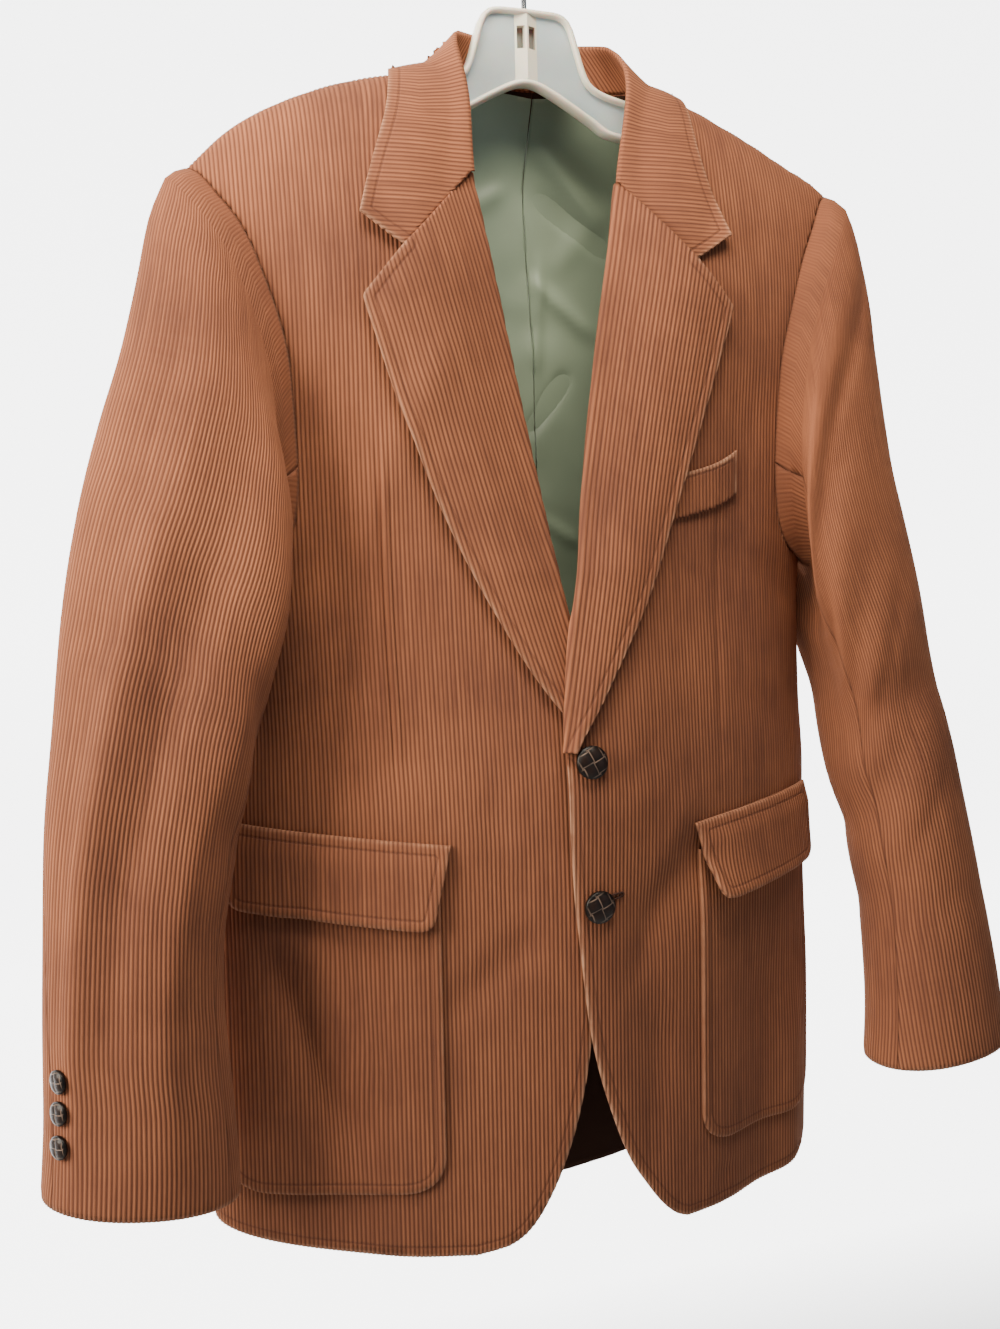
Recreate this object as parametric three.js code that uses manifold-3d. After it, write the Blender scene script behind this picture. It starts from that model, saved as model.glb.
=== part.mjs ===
// A single-breasted corduroy jacket with notched lapels, flapped patch pockets and a breast welt, buttoned
// and hanging on a moulded hanger with a wire hook.
// Millimetres, +Z up. The jacket's front faces -Y and its wearer's right side is towards -X.
// The origin is where a rail touches the inside of the hook.
import * as THREE from "three";
import { mergeVertices } from "three/addons/utils/BufferGeometryUtils.js";
import Module from "manifold-3d";

const wasm = await Module();
wasm.setup();

// Cloth thicknesses and the gaps between sewn pieces
const SHELL = 2.2;
const SLEEVE_WALL = 2.0;
const FOLD_WALL = 2.5;
const FLAP_WALL = 2.6;
const LINING_WALL = 1.0;
const LINING_EASE = 1.3;
const SEAM_GAP = 0.3;
const RIGHT = -1;
const LEFT = 1;

// Levels of the body
const SIDE_Y = 0;
const BREAK_Z = -578;
const CHEST_Z = -480;
const UNDERARM_Z = -445;
const SHOULDER_POINT = { x: 231, z: -189 };
const NECK_POINT = { x: 75, z: -115 };
const BACK_NECK_Z = -113;
const HEM_SIDE_Z = { right: -881, left: -882 };
const HEM_SAG = { right: 0, left: 8 };
const HEM_BACK_Z = -897;
const FRONT_CORNER_Z = -907;
// The back's centre seam hangs to the wearer's left of the middle.
const BACK_SEAM = { low: 15, neck: 6 };
// The shoulders, and the hanger in them, hang lower on the wearer's left, by this share of x.
const TILT = { share: 0.02, z: -330, tall: 150 };
// Above the lapels the whole neck has slid towards the wearer's left.
const SKEW = { x: 8, z: -200, tall: 90, fade: 150 };
// The wearer's left sleevehead stands higher than the even form, and the right one lower.
const SLEEVEHEAD = { x: 232, wide: 26, z: -255, tall: 60, left: 11, right: -3 };

// Level rings of the body: half widths to the wearer's right and left, depth before and behind the side
// seams, and how round the front is (2 is an ellipse, less is a keel).
const BODY = [
  { z: -907, right: 243, left: 208, front: 78, back: 15, round: 1.5 },
  { z: -760, right: 238, left: 210, front: 81, back: 22, round: 1.45 },
  { z: -668, right: 236, left: 207, front: 83, back: 27, round: 1.45 },
  { z: -600, right: 224, left: 208, front: 81, back: 31, round: 1.5 },
  { z: -545, right: 208, left: 205, front: 74, back: 34, round: 1.65 },
  { z: -478, right: 206, left: 204, front: 65, back: 38, round: 1.85 },
  { z: -415, right: 210, left: 210, front: 61, back: 41, round: 1.95 },
  { z: -336, right: 221, left: 221, front: 60, back: 45, round: 2 },
  { z: -271, right: 230, left: 230, front: 60, back: 45, round: 2.1 },
  { z: -190, right: 241, left: 241, front: 55, back: 41, round: 2.1 },
  { z: -60, right: 246, left: 246, front: 49, back: 37, round: 2.1 },
];
const FRONT_POWER = 1.7;
const BACK_ROUND = 2.4;
const BACK_POWER = 2;

// The shoulder line: its height over the half width, up past the neck point where nothing is cut from it.
const SHOULDER = [
  { x: 0, z: -70 },
  { x: 40, z: -94 },
  { x: 75, z: -115 },
  { x: 95, z: -119.5 },
  { x: 118, z: -125 },
  { x: 146, z: -135 },
  { x: 178, z: -149.5 },
  { x: 205, z: -166 },
  { x: 231, z: -189 },
  { x: 246, z: -204 },
];
const FRONT_DROP = 150;
const BACK_DROP = 110;
// The chest is hollow between the lapels, up by the neck.
const HOLLOW = { share: 0.55, width: 70, top: -200, bottom: -450 };

// Front edges from the hem's corner to the break, as x of the wearer's left front, on top, and the right.
const FRONT_EDGE = [
  { z: -907, left: 80, right: -76 },
  { z: -903, left: 71, right: -54 },
  { z: -893, left: 60, right: -39 },
  { z: -874, left: 46, right: -26 },
  { z: -853, left: 33, right: -16 },
  { z: -820, left: 20, right: -5 },
  { z: -783, left: 9, right: 3 },
  { z: -753, left: 3, right: 7 },
  { z: -702, left: -3, right: 17 },
  { z: -661, left: -7, right: 22 },
  { z: -614, left: -9.5, right: 25 },
  { z: -578, left: -10, right: 26 },
];
// The lapel's roll line and outer edge, as distances from the middle.
const ROLL_LINE = [
  { z: -578, left: -10, right: -26 },
  { z: -545, left: -7, right: -18 },
  { z: -490, left: 0, right: 0 },
  { z: -468, left: 5.5, right: 5.5 },
  { z: -391, left: 18.5, right: 18.5 },
  { z: -340, left: 27, right: 27 },
  { z: -281, left: 37, right: 37 },
  { z: -242, left: 44, right: 44 },
  { z: -191, left: 53, right: 53 },
  { z: -150, left: 61, right: 61 },
  { z: -115, left: 75, right: 75 },
];
const LAPEL_EDGE = [
  { z: -578, left: -9, right: -25 },
  { z: -560, left: 0, right: -10 },
  { z: -545, left: 10, right: 8 },
  { z: -478, left: 49, right: 50 },
  { z: -415, left: 78, right: 80 },
  { z: -336, left: 107, right: 109 },
  { z: -272, left: 128, right: 129 },
];
const GORGE_TOP = { x: 53, z: -191 };
const NOTCH = { x: 101, z: -241.6 };
const LAPEL_POINT = { x: 128, z: -272 };
const LAPEL = {
  fromZ: { left: -568, right: -572 },
  rollRadius: SHELL / 4 + FOLD_WALL / 4 + 0.45,
  edgeLift: 4.4,
  belly: 2.2,
  columns: 5,
  rows: 12,
};

// Collar: from the middle of the back (0) to the gorge (1), the fold's line and the fall's outer edge. The
// stand starts at the neck seam, which turns from the back to the front at the share `atShoulder`.
const COLLAR = [
  { t: 0, foldX: 0, foldY: 33, foldZ: -80, edgeX: 0, edgeY: 43, edgeZ: -128 },
  { t: 0.2, foldX: 31, foldY: 27, foldZ: -81, edgeX: 50, edgeY: 40, edgeZ: -129 },
  { t: 0.4, foldX: 54, foldY: 7, foldZ: -86, edgeX: 90, edgeY: 20, edgeZ: -126 },
  { t: 0.55, foldX: 60, foldY: -13, foldZ: -105, edgeX: 103, edgeY: -3, edgeZ: -123 },
  { t: 0.75, foldX: 55.5, foldY: -30, foldZ: -146, edgeX: 109, edgeY: -26, edgeZ: -155 },
  { t: 1, foldX: 51, foldY: -38, foldZ: -189.5, edgeX: 129, edgeY: -52, edgeZ: -222 },
];
const COLLAR_FORM = { atShoulder: 0.45, off: 2.2, lift: 3.1, belly: 1.3, notchAt: 0.6, falls: 5 };
const COLLAR_ROWS = [0, 0.15, 0.29, 0.39, 0.46, 0.52, 0.6, 0.72, 0.86, 1];

// Flaps and patch pockets, as distances from the middle; `outer` is a share of the half width.
const FLAP = {
  top: -625, slope: 0.118, inner: 87, slant: 14, tall: 56, corner: 9,
  outer: { left: 0.955, right: 0.97 },
};
const FLAP_STAND = { left: 13, right: 4 };
const POCKET = {
  top: -645, bottom: -858, corner: 28,
  inner: { left: 92, right: 95 }, outer: { left: 0.955, right: 0.97 },
};
const ON_CLOTH = 0.6;
const LEAST_GAP = 0.4;
const WELT = { from: 77, to: 134, top: -388, rise: 0.2, turnUp: 7, tall: 30, wall: 1.8 };

// Buttons: centres, sizes and heights
const FRONT_BUTTONS = [
  { at: "upper", x: 5.4, z: -575 },
  { at: "lower", x: 9.5, z: -672 },
];
const FRONT_BUTTON = { radius: 11, height: 7, around: 16 };
const CUFF_BUTTON = { radius: 7.2, height: 5, around: 9 };
const CUFF_BUTTON_STEPS = [11.3, 11.68, 12.1];
const CUFF_BUTTON_TURN = { right: 38, left: -15 };

// Hanger: height of its upper and lower edges over the distance from its middle
const HANGER = [
  { x: 0, top: -69, bottom: -118 },
  { x: 24, top: -69.5, bottom: -131 },
  { x: 30, top: -73, bottom: -134.5 },
  { x: 36, top: -92, bottom: -138 },
  { x: 43, top: -112, bottom: -142 },
  { x: 54, top: -119, bottom: -149 },
  { x: 75, top: -124, bottom: -152 },
  { x: 95, top: -128, bottom: -154 },
  { x: 118, top: -136, bottom: -158 },
  { x: 146, top: -148.5, bottom: -167 },
  { x: 174, top: -162.5, bottom: -179 },
  { x: 192, top: -173, bottom: -187 },
  { x: 197, top: -179, bottom: -185 },
];
const HANGER_FORM = { thick: 12, web: 4, rim: 3.2, chamfer: 1.6 };
const WINDOW = { z: -88, tall: 15, wide: 13, bar: 2.6 };
const HOOK = { wire: 1.9, bore: 2.15, foot: -80, inner: 20 };

// The armhole seam by its turn from the shoulder point (0) past the chest to the underarm (180) and, for
// the back column, over the shoulder blade.
const ARMHOLE = [
  { turn: 0, chest: 231, blade: 231 },
  { turn: 30, chest: 214, blade: 220 },
  { turn: 45, chest: 201, blade: 211 },
  { turn: 60, chest: 190, blade: 202 },
  { turn: 90, chest: 174, blade: 190 },
  { turn: 120, chest: 171, blade: 186 },
  { turn: 135, chest: 173, blade: 187 },
  { turn: 150, chest: 179, blade: 190 },
  { turn: 165, chest: 192, blade: 198 },
  { turn: 180, chest: 208, blade: 208 },
];

// Rings of a sleeve, from the armhole down: its outer and inner line, the depth of its middle, how far it
// reaches before and behind that, and how far its front and back lean in towards the body.
const SLEEVE = [
  { step: 1, outX: 244, outZ: -196, inX: 211.5, inZ: -453, midY: -3, fore: 44, aft: 40, lean: 40 },
  { step: 2, outX: 255, outZ: -222, inX: 214, inZ: -463, midY: -6, fore: 49, aft: 43, lean: 46 },
  { step: 3, outX: 265, outZ: -262, inX: 215, inZ: -475, midY: -11, fore: 52, aft: 45, lean: 54 },
  { step: 4, outX: 277, outZ: -305, inX: 215, inZ: -490, midY: -17, fore: 53, aft: 45, lean: 60 },
  { step: 5, outX: 293, outZ: -352, inX: 214, inZ: -511, midY: -24, fore: 53, aft: 45, lean: 60 },
  { step: 6, outX: 308, outZ: -405, inX: 214, inZ: -540, midY: -33, fore: 52, aft: 45, lean: 50 },
  { step: 7, outX: 320, outZ: -465, inX: 216, inZ: -576, midY: -42, fore: 50, aft: 44, lean: 36 },
  { step: 8, outX: 329, outZ: -535, inX: 223, inZ: -620, midY: -51, fore: 47, aft: 42, lean: 22 },
  { step: 9, outX: 337, outZ: -600, inX: 232, inZ: -666, midY: -58, fore: 44, aft: 40, lean: 11 },
  { step: 10, outX: 341, outZ: -666, inX: 235, inZ: -714, midY: -62, fore: 42, aft: 39, lean: 4 },
  { step: 11, outX: 344, outZ: -721, inX: 233, inZ: -756, midY: -64, fore: 42, aft: 39, lean: 0 },
  { step: 12, outX: 346, outZ: -772, inX: 231, inZ: -797, midY: -65, fore: 43, aft: 40, lean: 0 },
  { step: 13, outX: 350, outZ: -819, inX: 230, inZ: -834, midY: -65, fore: 44, aft: 41, lean: 0 },
];
// The wearer's left sleeve: how far its outer and its inner line hang in from the right one's, how far it
// hangs back, and its own lean. It is shorter as well.
const LEFT_SLEEVE = [
  { step: 1, outIn: 0, inIn: 0, back: 0, lean: 40 },
  { step: 2, outIn: 1, inIn: 0, back: 0, lean: 46 },
  { step: 3, outIn: 7, inIn: 0, back: 0, lean: 53 },
  { step: 4, outIn: 17.5, inIn: 0, back: 0, lean: 56.5 },
  { step: 5, outIn: 30, inIn: 2.5, back: 1.7, lean: 54 },
  { step: 6, outIn: 40, inIn: 0.2, back: 2.8, lean: 41 },
  { step: 7, outIn: 42, inIn: 2.3, back: 5.6, lean: 22 },
  { step: 8, outIn: 41, inIn: 7.3, back: 9, lean: 9.5 },
  { step: 9, outIn: 37, inIn: 8.5, back: 8.4, lean: 2 },
  { step: 10, outIn: 29, inIn: 3.8, back: 7.3, lean: 0 },
  { step: 11, outIn: 22, inIn: 0, back: 5.6, lean: 0 },
  { step: 12, outIn: 16, inIn: -2, back: 3.4, lean: 0 },
  { step: 13, outIn: 12.5, inIn: -0.5, back: 1.7, lean: 0 },
];
const LEFT_SHORTER = 17;
// The sleeve cap stands this far over the armhole seam.
const CAP = { gap: 0.8, bulge: 7 };
// Turns at which the under sleeve's two seams run, at the armhole and at the cuff.
const SLEEVE_SEAMS = { fore: { top: 118, cuff: 150 }, hind: { top: 285, cuff: { right: 389, left: 335 } } };
const SLEEVE_ROUND = 0.94;
// Soft folds of the sleeves, at a step and turn, running slantwise round the arm.
const SLEEVE_FOLDS = {
  right: [
    { step: 4.5, turn: 60, slant: -0.01, wide: 0.55, reach: 45, height: -3 },
    { step: 6.4, turn: 110, slant: 0.012, wide: 0.4, reach: 50, height: -3.5 },
    { step: 7.4, turn: 80, slant: 0.01, wide: 0.35, reach: 60, height: -3 },
    { step: 8.2, turn: 115, slant: -0.008, wide: 0.4, reach: 50, height: -3 },
    { step: 7.3, turn: 260, slant: 0.01, wide: 0.45, reach: 60, height: -3 },
    { step: 8.6, turn: 230, slant: -0.01, wide: 0.4, reach: 50, height: -3 },
  ],
  left: [
    { step: 3.3, turn: 50, slant: 0.03, wide: 0.55, reach: 50, height: -8 },
    { step: 4.9, turn: 80, slant: 0.02, wide: 0.5, reach: 55, height: -4 },
    { step: 6.6, turn: 110, slant: 0.01, wide: 0.4, reach: 60, height: -4 },
    { step: 7.5, turn: 105, slant: -0.004, wide: 0.35, reach: 60, height: -4 },
    { step: 8.3, turn: 120, slant: 0.006, wide: 0.35, reach: 60, height: -3.5 },
    { step: 7.2, turn: 265, slant: 0.01, wide: 0.45, reach: 60, height: -3 },
    { step: 8.6, turn: 230, slant: -0.01, wide: 0.4, reach: 50, height: -3 },
  ],
};

// Smooth value of one column of a table over another, with no overshoot between rows.
function track(table, by, key) {
  const rows = [...table].sort((a, b) => a[by] - b[by]);
  const t = rows.map((r) => r[by]);
  const v = rows.map((r) => r[key]);
  const last = rows.length - 1;
  const rise = (i) => (v[i + 1] - v[i]) / (t[i + 1] - t[i]);
  const slope = t.map((_, i) => {
    if (i === 0) return rise(0);
    if (i === last) return rise(last - 1);
    const [a, b] = [rise(i - 1), rise(i)];
    return a * b <= 0 ? 0 : (2 * a * b) / (a + b);
  });
  return (at) => {
    if (at <= t[0]) return v[0] + slope[0] * (at - t[0]);
    if (at >= t[last]) return v[last] + slope[last] * (at - t[last]);
    const i = t.findIndex((x, k) => at >= x && at <= t[k + 1]);
    const h = t[i + 1] - t[i];
    const s = (at - t[i]) / h;
    const keep = (1 + 2 * s) * (1 - s) ** 2 * v[i] + s * s * (3 - 2 * s) * v[i + 1];
    return keep + h * (s * (1 - s) ** 2 * slope[i] - s * s * (1 - s) * slope[i + 1]);
  };
}
const clamp = (x, lo, hi) => Math.min(hi, Math.max(lo, x));
const mix = (a, b, t) => a + (b - a) * t;
const ease = (t) => clamp(t, 0, 1) ** 2 * (3 - 2 * clamp(t, 0, 1));
const radians = THREE.MathUtils.degToRad;
const spread = (n, shape = (t) => t) => Array.from({ length: n + 1 }, (_, i) => shape(i / n));
const columns = (table, by) =>
  Object.fromEntries(Object.keys(table[0]).map((key) => [key, track(table, by, key)]));

const body = columns(BODY, "z");
const shoulder = track(SHOULDER, "x", "z");
const frontEdge = columns(FRONT_EDGE, "z");
const rollLine = columns(ROLL_LINE, "z");
const lapelEdge = columns(LAPEL_EDGE, "z");
const armhole = columns(ARMHOLE, "turn");
const collar = columns(COLLAR, "t");
const sleeve = columns(SLEEVE, "step");
const leftSleeve = columns(LEFT_SLEEVE, "step");
const name = (side) => (side === RIGHT ? "right" : "left");
const halfWidth = (side, z) => body[name(side)](z);

// Depth of the body's front (way -1) or back (way 1) from the side seams, at a place and level.
function bodyDepth(x, z, way) {
  const side = x < 0 ? RIGHT : LEFT;
  const share = Math.min(Math.abs(x) / halfWidth(side, z), 1);
  if (way > 0) return body.back(z) * (1 - share ** BACK_ROUND) ** (1 / BACK_POWER);
  const up = clamp((z - HOLLOW.bottom) / (HOLLOW.top - HOLLOW.bottom), 0, 1);
  const hollow = 1 - HOLLOW.share * Math.exp(-((x / HOLLOW.width) ** 2)) * up;
  return body.front(z) * (1 - share ** body.round(z)) ** (1 / FRONT_POWER) * hollow;
}
function bodyY(x, z, way) {
  const drop = way > 0 ? BACK_DROP : FRONT_DROP;
  const t = clamp((shoulder(Math.abs(x)) - z) / drop, 0, 1);
  return SIDE_Y + way * bodyDepth(x, z, way) * Math.sqrt(1 - (1 - t) ** 2);
}

// Soft folds of the cloth, as ridges (height above 0) or troughs from one point to another in x and z.
const FOLDS = [
  { way: -1, x0: 92, z0: -640, x1: 40, z1: -705, wide: 22, height: -5 },
  { way: -1, x0: 150, z0: -905, x1: 150, z1: -700, wide: 26, height: -6 },
  { way: -1, x0: 185, z0: -905, x1: 180, z1: -760, wide: 20, height: 4 },
  { way: -1, x0: -195, z0: -700, x1: -150, z1: -850, wide: 20, height: -6 },
  { way: -1, x0: -120, z0: -905, x1: -110, z1: -560, wide: 30, height: 3 },
  { way: -1, x0: 150, z0: -330, x1: 120, z1: -500, wide: 22, height: -3 },
  { way: -1, x0: -160, z0: -330, x1: -130, z1: -520, wide: 24, height: -3 },
  { way: 1, x0: -90, z0: -900, x1: -70, z1: -480, wide: 26, height: 7 },
  { way: 1, x0: 80, z0: -900, x1: 95, z1: -430, wide: 24, height: 8 },
  { way: 1, x0: 10, z0: -900, x1: -5, z1: -560, wide: 24, height: -5 },
  { way: 1, x0: 150, z0: -900, x1: 160, z1: -560, wide: 20, height: -6 },
  { way: 1, x0: -155, z0: -900, x1: -160, z1: -520, wide: 20, height: -5 },
];
function foldHeight(x, z, way) {
  let sum = 0;
  for (const f of FOLDS) {
    if (f.way !== way) continue;
    const [dx, dz] = [f.x1 - f.x0, f.z1 - f.z0];
    const along = ((x - f.x0) * dx + (z - f.z0) * dz) / (dx * dx + dz * dz);
    const off = Math.abs((x - f.x0) * dz - (z - f.z0) * dx) / Math.hypot(dx, dz);
    // A fold that starts at the hem runs out over it, and any other fades at both ends.
    const start = f.z0 < -890 ? 1 : ease((along + 0.15) / 0.3);
    sum += f.height * Math.exp(-((off / f.wide) ** 2)) * start * ease((1.1 - along) / 0.45);
  }
  const side = x < 0 ? RIGHT : LEFT;
  return sum * ease((1 - Math.abs(x) / halfWidth(side, z)) / 0.12);
}
function bodyPoint(x, z, way) {
  return new THREE.Vector3(x, bodyY(x, z, way) + way * foldHeight(x, z, way), z);
}
// Direction out of the body's surface.
function bodyNormal(x, z, way) {
  const d = 0.5;
  const side = x < 0 ? RIGHT : LEFT;
  const reach = halfWidth(side, z) - 0.6;
  const cx = clamp(x, -reach, reach);
  const dx = bodyPoint(cx + d, z, way).sub(bodyPoint(cx - d, z, way));
  const dz = bodyPoint(cx, z + d, way).sub(bodyPoint(cx, z - d, way));
  return dx.cross(dz).normalize().multiplyScalar(-way);
}

// A wall from a grid of points: its outer face is the grid moved out by `out`, a number or a grid of them,
// and its inner face lies `thick` behind that. `limit` keeps every point on its own side of a seam.
function wall(grid, thick, { out = 0, flip = false, normals = null, limit = (p) => p } = {}) {
  const rows = grid.length;
  const cols = grid[0].length;
  const at = (i, j) => grid[clamp(i, 0, rows - 1)][clamp(j, 0, cols - 1)];
  const normalAt = (i, j) => {
    const up = at(i + 1, j).clone().sub(at(i - 1, j));
    const across = at(i, j + 1).clone().sub(at(i, j - 1));
    return across.cross(up).normalize().multiplyScalar(flip ? -1 : 1);
  };
  const positions = [];
  for (const layer of [0, 1])
    for (let i = 0; i < rows; i++)
      for (let j = 0; j < cols; j++) {
        const n = normals ? normals[i][j] : normalAt(i, j);
        const lift = (typeof out === "number" ? out : out[i][j]) - layer * thick;
        const p = limit(grid[i][j].clone().addScaledVector(n, lift));
        positions.push(p.x, p.y, p.z);
      }
  const id = (layer, i, j) => layer * rows * cols + i * cols + j;
  const index = [];
  const quad = (a, b, c, d) => (flip ? index.push(a, c, b, a, d, c) : index.push(a, b, c, a, c, d));
  for (let i = 0; i < rows - 1; i++)
    for (let j = 0; j < cols - 1; j++) {
      quad(id(0, i, j), id(0, i, j + 1), id(0, i + 1, j + 1), id(0, i + 1, j));
      quad(id(1, i, j), id(1, i + 1, j), id(1, i + 1, j + 1), id(1, i, j + 1));
    }
  for (let j = 0; j < cols - 1; j++) {
    quad(id(0, 0, j), id(1, 0, j), id(1, 0, j + 1), id(0, 0, j + 1));
    quad(id(0, rows - 1, j), id(0, rows - 1, j + 1), id(1, rows - 1, j + 1), id(1, rows - 1, j));
  }
  for (let i = 0; i < rows - 1; i++) {
    quad(id(0, i, 0), id(0, i + 1, 0), id(1, i + 1, 0), id(1, i, 0));
    quad(id(0, i, cols - 1), id(1, i, cols - 1), id(1, i + 1, cols - 1), id(0, i + 1, cols - 1));
  }
  const geometry = new THREE.BufferGeometry();
  geometry.setAttribute("position", new THREE.Float32BufferAttribute(positions, 3));
  geometry.setIndex(index);
  return geometry;
}

// Finishes
const CORDUROY = { color: 0xa06a4e, roughness: 0.95, metalness: 0 };
const LINING = { color: 0x8b9680, roughness: 0.55, metalness: 0 };
const LEATHER = { color: 0x2a1710, roughness: 0.35, metalness: 0 };
const PLASTIC = { color: 0xdfe4e2, roughness: 0.3, metalness: 0 };
const STEEL = { color: 0xb9bcc0, roughness: 0.25, metalness: 1 };
const jacket = new THREE.Group();
jacket.name = "corduroy_jacket_on_hanger";
function add(meshName, geometry, finish) {
  const position = geometry.getAttribute("position");
  for (let i = 0; i < position.count && finish !== STEEL; i++) {
    const tilted = TILT.share * ease((position.getZ(i) - TILT.z) / TILT.tall) * position.getX(i);
    position.setZ(i, position.getZ(i) - tilted);
  }
  if (finish !== PLASTIC && finish !== STEEL)
    for (let i = 0; i < position.count; i++) {
      const near = ease((SKEW.fade - Math.abs(position.getX(i))) / 60);
      const slid = SKEW.x * ease((position.getZ(i) - SKEW.z) / SKEW.tall) * near;
      const x = position.getX(i) + slid;
      const end = Math.exp(-(((Math.abs(x) - SLEEVEHEAD.x) / SLEEVEHEAD.wide) ** 2));
      const high = ease((position.getZ(i) - SLEEVEHEAD.z) / SLEEVEHEAD.tall);
      position.setX(i, x);
      position.setZ(i, position.getZ(i) + SLEEVEHEAD[x < 0 ? "right" : "left"] * end * high);
    }
  const mesh = new THREE.Mesh(geometry, new THREE.MeshStandardMaterial(finish));
  mesh.name = meshName;
  jacket.add(mesh);
  return mesh;
}

// Where the body's panels run: shares of the way from the hem, past the underarm, to the shoulder.
const UNDERARM_ROW = 0.56;
const ROWS = [
  ...[0, 0.005, 0.014, 0.032, 0.07, 0.12],
  ...spread(7, (t) => mix(0.17, 0.51, t)),
  ...spread(10, (t) => UNDERARM_ROW + 0.44 * Math.sin((t * Math.PI) / 2) ** 1.15),
];
const FRONT_COLUMNS = 12;
const BACK_COLUMNS = 8;
const LINING_FROM_ROW = 9;
function armholePoint(turn, side) {
  const way = turn <= 180 ? -1 : 1;
  const fromTop = turn <= 180 ? turn : 360 - turn;
  const x = side * (way < 0 ? armhole.chest(fromTop) : armhole.blade(fromTop));
  const z = mix(UNDERARM_Z, SHOULDER_POINT.z, 0.5 + 0.5 * Math.cos(radians(fromTop)));
  return { x, z, way };
}
// A panel's long edge at the side: the side seam, then the armhole.
function sideEdge(v, side, way) {
  if (v <= UNDERARM_ROW) {
    const z = mix(HEM_SIDE_Z[name(side)], UNDERARM_Z, v / UNDERARM_ROW);
    return { x: side * halfWidth(side, z), z };
  }
  const share = (v - UNDERARM_ROW) / (1 - UNDERARM_ROW);
  return armholePoint(way < 0 ? 180 - 180 * share : 180 + 180 * share, side);
}
// A front's other long edge: the cutaway hem, the buttoned edge, the roll line and the neck.
function openEdge(v, side) {
  const low = v < UNDERARM_ROW;
  const z = low
    ? mix(FRONT_CORNER_Z, CHEST_Z, v / UNDERARM_ROW)
    : mix(CHEST_Z, NECK_POINT.z, (v - UNDERARM_ROW) / (1 - UNDERARM_ROW));
  if (z < BREAK_Z) return { x: frontEdge[name(side)](z), z };
  return { x: side * rollLine[name(side)](z), z };
}
const backSeamX = (z) => mix(BACK_SEAM.low, BACK_SEAM.neck, ease((z + 330) / 200));
function backEdge(v) {
  const z = mix(HEM_BACK_Z, BACK_NECK_Z, v);
  return { x: backSeamX(z), z };
}
const turnOf = (x, side, z) => Math.asin(clamp((side * x) / halfWidth(side, z), -1, 1));

// A panel of the body between two long edges. Its rows bend up into the shoulder line at the top.
function bodyGrid(side, way, edge, cols) {
  const across = (v, share) => {
    const from = edge(v, side);
    const to = sideEdge(v, side, way);
    const [turn0, turn1] = [turnOf(from.x, side, from.z), turnOf(to.x, side, to.z)];
    // The columns draw in gradually past the underarm, and only the last ones follow its sharp turn.
    const smooth = mix(Math.PI / 2, turnOf(side * 178, side, -340), ease((v - 0.3) / 0.4));
    const led = v < 0.72 ? mix(smooth, turn1, ease((v - 0.6) / 0.12)) : turn1;
    const z = mix(from.z, to.z, share);
    const turn = mix(turn0, led, share) + (turn1 - led) * share ** 5;
    return { x: halfWidth(side, z) * Math.sin(turn), z };
  };
  return ROWS.map((v) =>
    spread(cols).map((share) => {
      const top = across(1, share);
      const off = Math.abs(top.x);
      const neck = mix(way > 0 ? BACK_NECK_Z : NECK_POINT.z, NECK_POINT.z, off / NECK_POINT.x);
      const ridge = off < NECK_POINT.x ? neck : shoulder(off);
      const { x, z } = across(v, share);
      const sag = way < 0 ? HEM_SAG[name(side)] * Math.sin(Math.PI * share) * (1 - v / 0.2) : 0;
      const bent = z + (ridge - top.z) * ease((v - 0.6) / 0.4) ** 1.2 - Math.max(sag, 0);
      return bodyPoint(side * x, Math.min(bent, shoulder(Math.abs(x))), way);
    }),
  );
}
// The wearer's left front lies over the right one, and stands further out where the lapels cross.
const LAP = { x: 8, lift: 1.7, width: 90 };
const CROSSING = { x: 6, z: -530, lift: 5.6, wide: 30, fadeX: 60, tall: 58, fadeZ: 90 };
function lap(x, z, side) {
  const near = LAP.lift * Math.exp(-(((x - LAP.x) / LAP.width) ** 2));
  if (side === RIGHT) return near;
  const across = ease(1 - (Math.abs(x - CROSSING.x) - CROSSING.wide) / CROSSING.fadeX);
  const along = ease(1 - (Math.abs(z - CROSSING.z) - CROSSING.tall) / CROSSING.fadeZ);
  return -near - CROSSING.lift * across * along;
}
function frontPoint(x, z, side) {
  const p = bodyPoint(x, z, -1);
  p.y += lap(x, z, side);
  return p;
}

// Each panel stays on its own side of the side and shoulder seams, and of the back's centre seam.
const seamLimit = (side, way) => (p) => {
  p.y = way < 0 ? Math.min(p.y, SIDE_Y - SEAM_GAP / 2) : Math.max(p.y, SIDE_Y + SEAM_GAP / 2);
  if (way > 0) {
    const seam = backSeamX(p.z);
    p.x = seam + side * Math.max(side * (p.x - seam), SEAM_GAP / 2);
  }
  return p;
};
const fronts = {};
for (const side of [RIGHT, LEFT]) {
  const front = bodyGrid(side, -1, openEdge, FRONT_COLUMNS);
  for (const p of front.flat()) p.y += lap(p.x, p.z, side);
  const frontWall = wall(front, SHELL, { flip: side === RIGHT, limit: seamLimit(side, -1) });
  fronts[side] = add(`front_${name(side)}`, frontWall, CORDUROY);
  const back = bodyGrid(side, 1, backEdge, BACK_COLUMNS);
  const limit = seamLimit(side, 1);
  add(`back_${name(side)}`, wall(back, SHELL, { flip: side === LEFT, limit }), CORDUROY);
  const every = (_, i) => i % 2 === 0;
  const inside = back.slice(LINING_FROM_ROW).filter(every).map((row) => row.slice(0, -1));
  const out = -SHELL - LINING_EASE;
  add(`lining_${name(side)}`, wall(inside, LINING_WALL, { out, flip: side === LEFT, limit }), LINING);
}

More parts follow.
